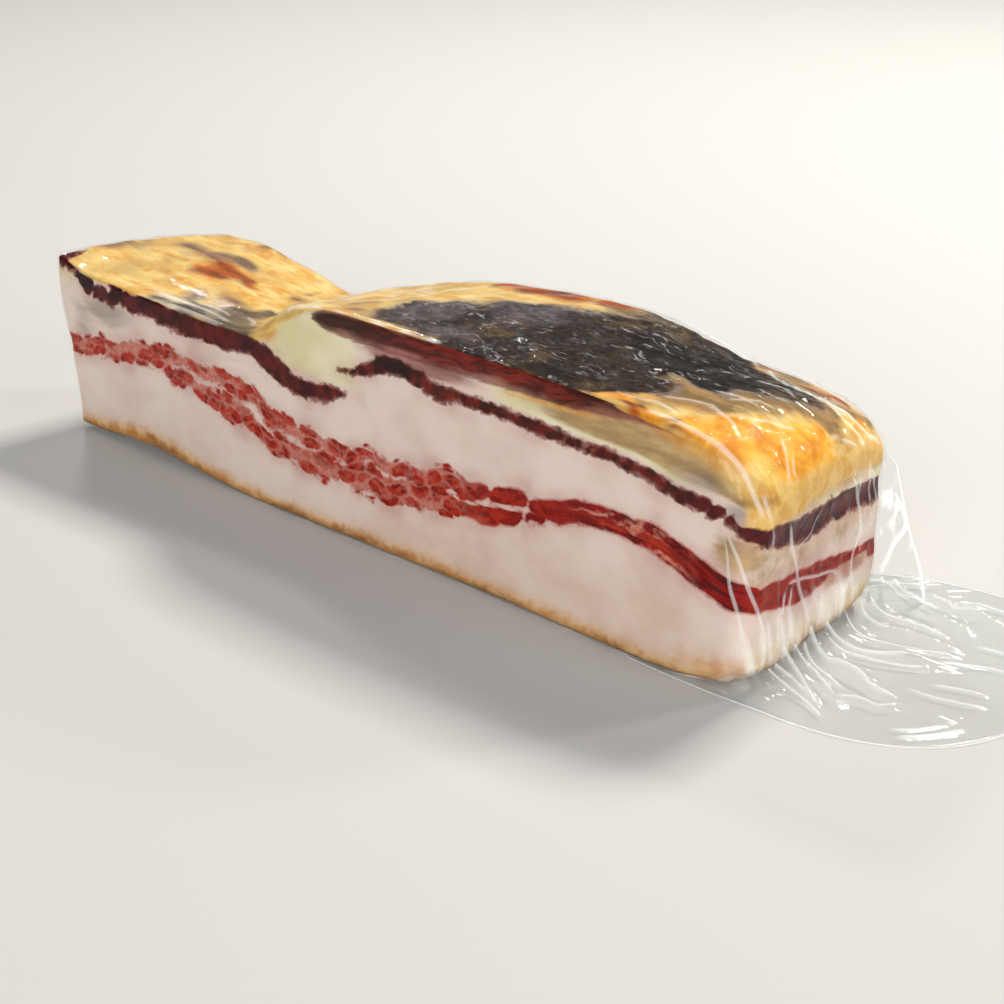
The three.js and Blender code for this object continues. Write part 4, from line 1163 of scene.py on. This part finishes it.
# Finer ridges of the tail, seen from above, with a height and a width
RIDGES = [
    ([(127, 6), (131, 4.5), (140, 5), (147, 8), (153, 11.5)], 1.6, 0.7),
    ([(130, 3), (140, 2.6), (150, 5.4), (158, 10.4)], 1.2, 0.6),
    ([(122, -1), (128, -3), (137, -6), (141, -5.5), (148, -7), (152, -9), (160, -9)], 1.8, 0.7),
    ([(128, -5), (135, -9), (141, -10.5), (147, -14)], 1.2, 0.6),
    ([(117, -11), (131, -11.5), (138, -13), (144, -17), (148, -19)], 2, 0.8),
    ([(124, -18), (132, -17), (139, -19.5), (146, -24)], 1.3, 0.6),
    ([(126, -25), (133, -22), (141, -23.5), (150, -28)], 1.1, 0.6),
    ([(127, -21.5), (134, -19.5), (142, -21.5)], 1.2, 0.5),
    ([(145, -16.5), (152, -15), (157, -14.5), (160, -11)], 1.2, 0.6),
    ([(130, 22), (134, 19), (139, 19), (143, 20)], 1.6, 0.7),
    ([(129, 14), (137, 12), (148, 15), (160, 20)], 1.1, 0.6),
    ([(127, 48), (131, 43), (137, 40), (146, 38)], 1.6, 0.8),
    ([(124, 46), (130, 38), (135, 34.5), (141, 35.5), (150, 34)], 1.8, 0.8),
    ([(129, 28), (135, 26), (144, 28), (156, 27)], 1.2, 0.6),
    ([(139, 42.5), (145, 42), (150, 41), (158, 44)], 1.2, 0.6),
    ([(150, 41), (152, 47)], 0.8, 0.5),
    ([(146, 45), (150, 48), (158, 49.5), (166, 49)], 0.9, 0.6),
    ([(165, -24), (172, -17), (178, -8)], 0.7, 1),
    ([(162, -22), (168, -17), (174, -9)], 0.6, 0.8),
    ([(160, 3), (170, 7), (176, 8)], 0.8, 0.6),
    ([(156, -2), (166, -1), (178, 3)], 0.7, 0.6),
    ([(160, 28), (170, 30), (180, 33)], 0.7, 0.7),
    ([(158, 14), (168, 20), (178, 22)], 0.7, 0.6),
    ([(112, 36), (120, 40), (128, 44), (138, 50)], 0.9, 0.7),
]


def turned_corner(x, start, end, depth):
    """A rounded corner, a little fuller than a quarter of an ellipse."""
    t = np.clip((x - start) / (end - start), 0, 1)
    return depth * (1 - (1 - t ** CORNER_FULLNESS) ** (1 / CORNER_FULLNESS))


def outer_outline(count):
    """Even points round the bag's outline, from the front of the bar round the right end to its back."""
    t = np.sin(np.linspace(0, 1, 400) * math.pi / 2)
    xs = mix(TAIL_START, TAIL_END, t)
    front = along(TAIL_FRONT, xs) + turned_corner(xs, 135, TAIL_END, 43)
    back = along(TAIL_BACK, xs) - turned_corner(xs, 160, TAIL_END, 14)
    line = np.concatenate([np.stack([xs, front], -1), np.stack([xs, back], -1)[::-1]])
    gone = np.concatenate([[0], np.cumsum(np.linalg.norm(np.diff(line, axis=0), axis=1))])
    at = np.linspace(0, gone[-1], count)
    return np.stack([np.interp(at, gone, line[:, k]) for k in (0, 1)], -1)


def inner_outline(count):
    """Points round the foot of the bar, from the same start to the same end."""
    corners = np.array([(96, -33.4), (121, -33.4), (126.5, -32), (129.3, -28.5), (130.5, -22), (130.9, -10), (130.5, 1),
                        (130.9, 12), (130.6, 24), (129.6, 29.5), (127, 32.6), (122, 33.4), (96, 33.4)])
    line = smoothed(corners, 24)
    gone = np.concatenate([[0], np.cumsum(np.linalg.norm(np.diff(line, axis=0), axis=1))])
    at = np.linspace(0, gone[-1], count)
    return np.stack([np.interp(at, gone, line[:, k]) for k in (0, 1)], -1)


AROUND, ACROSS = 420, 90
inner, outer = inner_outline(AROUND + 1), outer_outline(AROUND + 1)
share = np.linspace(0, 1, ACROSS + 1) ** 1.25
tail_xy = mix(inner[:, None], outer[:, None], share[None, :, None])
print("outline from", outer[0].round(1), "to", outer[-1].round(1))

# %% Heights of the upper film
flat = tail_xy.reshape(-1, 2)
tx, ty = flat.T
past = np.linalg.norm(tail_xy - inner[:, None], axis=2).ravel()
scallop = 0.8 + 0.2 * np.cos(2 * math.pi * ty / SCALLOP + 1)
tail_z = SHEET * 0.5 + CLIMB * scallop * np.exp(-past / CLIMB_REACH) * smooth_step(tx, 112, 130)
broad = np.zeros(len(flat))
for start, end, height, width in PLEATS:
    run = np.subtract(end, start)
    length = np.hypot(*run)
    t = ((flat - start) @ run) / length**2
    off = ((tx - start[0]) * run[1] - (ty - start[1]) * run[0]) / length
    broad = np.maximum(broad, 0.75 * height * smooth_step(t, -0.12, 0.05) * (1 - smooth_step(t, 0.55, 1.05)) * bump(off / width))
ridge, ridge_white = creased(np.c_[flat, np.zeros(len(flat))], [([(*p, 0) for p in line], h, w) for line, h, w in RIDGES], 0)
angle = np.repeat(np.linspace(0, AROUND * 0.65, AROUND + 1), ACROSS + 1)
radial = np.array([noise.noise(Vector((a / 3.4, d / 24, 1.7))) for a, d in zip(angle, past)])
fine_radial = np.array([noise.noise(Vector((a / 1.3, d / 11, 5.1))) for a, d in zip(angle, past)])
rim = 1 - np.repeat(share[None], AROUND + 1, 0).ravel()
flatten = smooth_step(rim, 0, 0.12)
calm = smooth_step(past, 1, 12) * mix(1, 0.3, smooth_step(past, 18, 40))
tail_z = tail_z + flatten * (broad + ridge + calm * (np.maximum(radial, -0.1) * 0.7 + np.maximum(fine_radial, 0) * 0.25))
tail_z = np.where(rim < 0.01, 0.25, tail_z)
print("upper film up to", round(float(tail_z.max()), 1), "mm above the table")

# %% Upper film, lower film and the edge where they meet
index = np.arange((AROUND + 1) * (ACROSS + 1)).reshape(AROUND + 1, ACROSS + 1)
quads = np.stack([index[:-1, :-1], index[:-1, 1:], index[1:, 1:], index[1:, :-1]], -1).reshape(-1, 4)
upper_mm = np.c_[flat, tail_z]
under_z = np.full(len(flat), 0.06)
lower_mm = np.c_[flat, under_z]
rim_row, foot_row = index[:, -1], index[:, 0]
count = len(flat)
seam = np.stack([rim_row[:-1], rim_row[:-1] + count, rim_row[1:] + count, rim_row[1:]], -1)
foot_seam = np.stack([foot_row[:-1], foot_row[1:], foot_row[1:] + count, foot_row[:-1] + count], -1)
side_a = np.stack([index[0, :-1], index[0, :-1] + count, index[0, 1:] + count, index[0, 1:]], -1)
side_b = np.stack([index[-1, :-1], index[-1, 1:], index[-1, 1:] + count, index[-1, :-1] + count], -1)
tail_mm = np.concatenate([upper_mm, lower_mm])
tail_faces = np.concatenate([quads, quads[:, ::-1] + count, seam, foot_seam, side_a, side_b])
tail_white = np.concatenate([np.maximum(ridge_white, bump(rim / 0.012)), np.zeros(count)])
print("tail:", 2 * len(tail_faces), "triangles")

# %% [markdown]
# ## The gusset
#
# At the far right edge of the bar the bag's side fold stands up as a stiff web of film. It is a thin
# leaf with two faces: one side follows the bar's upright edge, the other comes down in a slant to the
# table, with a folded, whitish hem.

# %% Build the leaf
GUSSET_CORNER = np.array([129, 32.5])
GUSSET_TURN = math.radians(45)
GUSSET_EDGE = [(0.3, 14.7), (9.9, 12.5), (16.4, 10.1), (24, 7.3), (30.3, 5.5), (38.5, 3.2), (44, 1.7), (46.3, 0.6)]
GUSSET_HIGH = 46.3
UP, OUT = 90, 36
h, q = np.meshgrid(np.linspace(0.2, GUSSET_HIGH, UP + 1), np.linspace(0, 1, OUT + 1), indexing="ij")
reach = along(GUSSET_EDGE, h)
tip = smooth_step(h, GUSSET_HIGH - 6, GUSSET_HIGH)
d = mix(-1.6, reach - 2.4 * tip, q)
bulge = 1.6 * np.sin(np.pi * np.clip(q, 0, 1)) * bump((h - 24) / 12) + 0.5 * np.sin(h / 3.1 + 4 * q) * q * (1 - q) * 3
pocket = bump((d - along([(9.4, 1.2), (16, 4.1), (22.8, 6.9), (30, 4.5), (34, 2.5)], h)) / 0.5) * smooth_step(h, 8, 11) * (1 - smooth_step(h, 30, 35))
half_thick = mix(0.55, 0.12, q) + 0.5 * pocket + 0.4 * bump((q - 1) / 0.06)
out_dir = np.array([math.cos(GUSSET_TURN), math.sin(GUSSET_TURN)])
side_dir = np.array([-out_dir[1], out_dir[0]])
leaf = []
for side in (1, -1):
    flat_xy = GUSSET_CORNER + d[..., None] * out_dir + (bulge + side * half_thick)[..., None] * side_dir
    leaf.append(np.concatenate([flat_xy, h[..., None]], -1).reshape(-1, 3))
index = np.arange((UP + 1) * (OUT + 1)).reshape(UP + 1, OUT + 1)
count = index.size
quads = np.stack([index[:-1, :-1], index[:-1, 1:], index[1:, 1:], index[1:, :-1]], -1).reshape(-1, 4)
ring = np.concatenate([index[0, :-1], index[:-1, -1], index[-1, :0:-1], index[:0:-1, 0]])
after = np.roll(ring, -1)
hem = np.stack([ring, ring + count, after + count, after], -1)
gusset_mm = np.concatenate(leaf)
gusset_faces = np.concatenate([quads[:, ::-1], quads + count, hem[:, ::-1]])
web_folds = np.array([noise.noise(Vector((a / 7, b / 1.6, 4))) for a, b in zip(h.ravel(), d.ravel())])
web_haze = bump((h - 27) / 12) * np.clip(0.32 + 1.2 * web_folds.reshape(h.shape), 0, 1)
gusset_white = np.tile(np.max([bump((q - 1) / 0.05), pocket, web_haze], axis=0).ravel(), 2)
print("gusset:", 2 * len(gusset_faces), "triangles")

# %% [markdown]
# ## The film's material
#
# The bag is clear polyamide and polyethylene film, about a tenth of a millimetre thick, blown and
# therefore mirror smooth. Such a thin film doesn't bend what is behind it, so its body is a plain
# transparent shader, and its gloss is a mirror that is weak seen straight on and strong seen along the film.
# Lamps then light the pork through it. Where the film is folded it scatters light, and there some
# white diffuse and translucent shader is mixed in. The same white shader also shows the painted
# highlights along the sides of creases and on a few edges of the bar.

# %% Clear film
film_material, tree = new_material("clear_blown_bag_film")
whiteness = add_node(tree, "ShaderNodeAttribute", attribute_name="white").outputs["Fac"]
in_mm = add_node(tree, "ShaderNodeVectorMath", {
    0: add_node(tree, "ShaderNodeTexCoord").outputs["Object"], 3: 1 / MM,
}, operation="SCALE").outputs[0]
stretched = add_node(tree, "ShaderNodeVectorMath", {0: in_mm, 1: (0.5, 1, 0.8)}, operation="MULTIPLY").outputs[0]
crinkle = add_node(tree, "ShaderNodeTexNoise", {
    "Vector": stretched, "Scale": 1 / 2.2, "Detail": 1, "Roughness": 0.6,
}).outputs["Fac"]
film_bump = add_node(tree, "ShaderNodeBump", {"Height": crinkle, "Strength": 0.35, "Distance": 0.25 * MM}).outputs[0]
glints = add_node(tree, "ShaderNodeTexNoise", {
    "Vector": stretched, "Scale": 1 / 0.9, "Detail": 1, "Roughness": 0.5,
}).outputs["Fac"]
creped = add_node(tree, "ShaderNodeAttribute", attribute_name="creped").outputs["Fac"]
film_bump = add_node(tree, "ShaderNodeBump", {
    "Height": glints, "Strength": creped, "Distance": 0.3 * MM, "Normal": film_bump,
}).outputs[0]
STRAIGHT_ON = 0.016                 # share of the light that it mirrors, seen straight on
ALONG_IT = 0.45                     # and seen along the film, a little less than all of it
clear = add_node(tree, "ShaderNodeBsdfTransparent", {"Color": linear("FBFCFC")}).outputs[0]
mirror = add_node(tree, "ShaderNodeBsdfAnisotropic", {
    "Color": linear("FFFFFF"), "Roughness": 0.06, "Normal": film_bump,
}).outputs[0]
edge_on = add_node(tree, "ShaderNodeLayerWeight", {"Normal": film_bump}).outputs["Facing"]
edge_on = add_node(tree, "ShaderNodeMath", {0: edge_on, 1: 5}, operation="POWER").outputs[0]
fresnel = add_node(tree, "ShaderNodeMapRange", {
    "Value": edge_on, "To Min": STRAIGHT_ON, "To Max": ALONG_IT,
}).outputs[0]
glossy_film = add_node(tree, "ShaderNodeMixShader", {0: fresnel, 1: clear, 2: mirror}).outputs[0]
scattered = add_node(tree, "ShaderNodeAddShader", {
    0: add_node(tree, "ShaderNodeBsdfDiffuse", {"Color": linear("E0E3E3")}).outputs[0],
    1: add_node(tree, "ShaderNodeBsdfTranslucent", {"Color": linear("A8ACAC")}).outputs[0],
}).outputs[0]
milky_and_highlight_share = add_node(tree, "ShaderNodeMapRange", {
    "Value": whiteness, "From Min": 0.3, "From Max": 0.95, "To Min": 0.0, "To Max": 0.7,
}).outputs[0]
film_surface = add_node(tree, "ShaderNodeMixShader", {0: milky_and_highlight_share, 1: glossy_film, 2: scattered}).outputs[0]
add_node(tree, "ShaderNodeOutputMaterial", {"Surface": film_surface})
print("film material:", film_material.name)

# %% Put the film in place
FILM_PIECES = [
    ("bag_film_on_bar", film_mm, film_faces, white, creping),
    ("bag_tail_film", tail_mm, tail_faces, tail_white, 0 * tail_white),
    ("bag_gusset_film", gusset_mm, gusset_faces, gusset_white, 0 * gusset_white),
]
for name, points, faces, whiteness_values, creped_values in FILM_PIECES:
    piece = show(name, points * MM, faces, film_material)
    for mark, values in (("white", whiteness_values), ("creped", creped_values)):
        piece.data.attributes.new(mark, "FLOAT", "POINT").data.foreach_set("value", values.astype(np.float32))
    if name != "bag_film_on_bar":
        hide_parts("bag_tail")
    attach(piece, "root")
    print(name, "triangles:", 2 * len(faces))
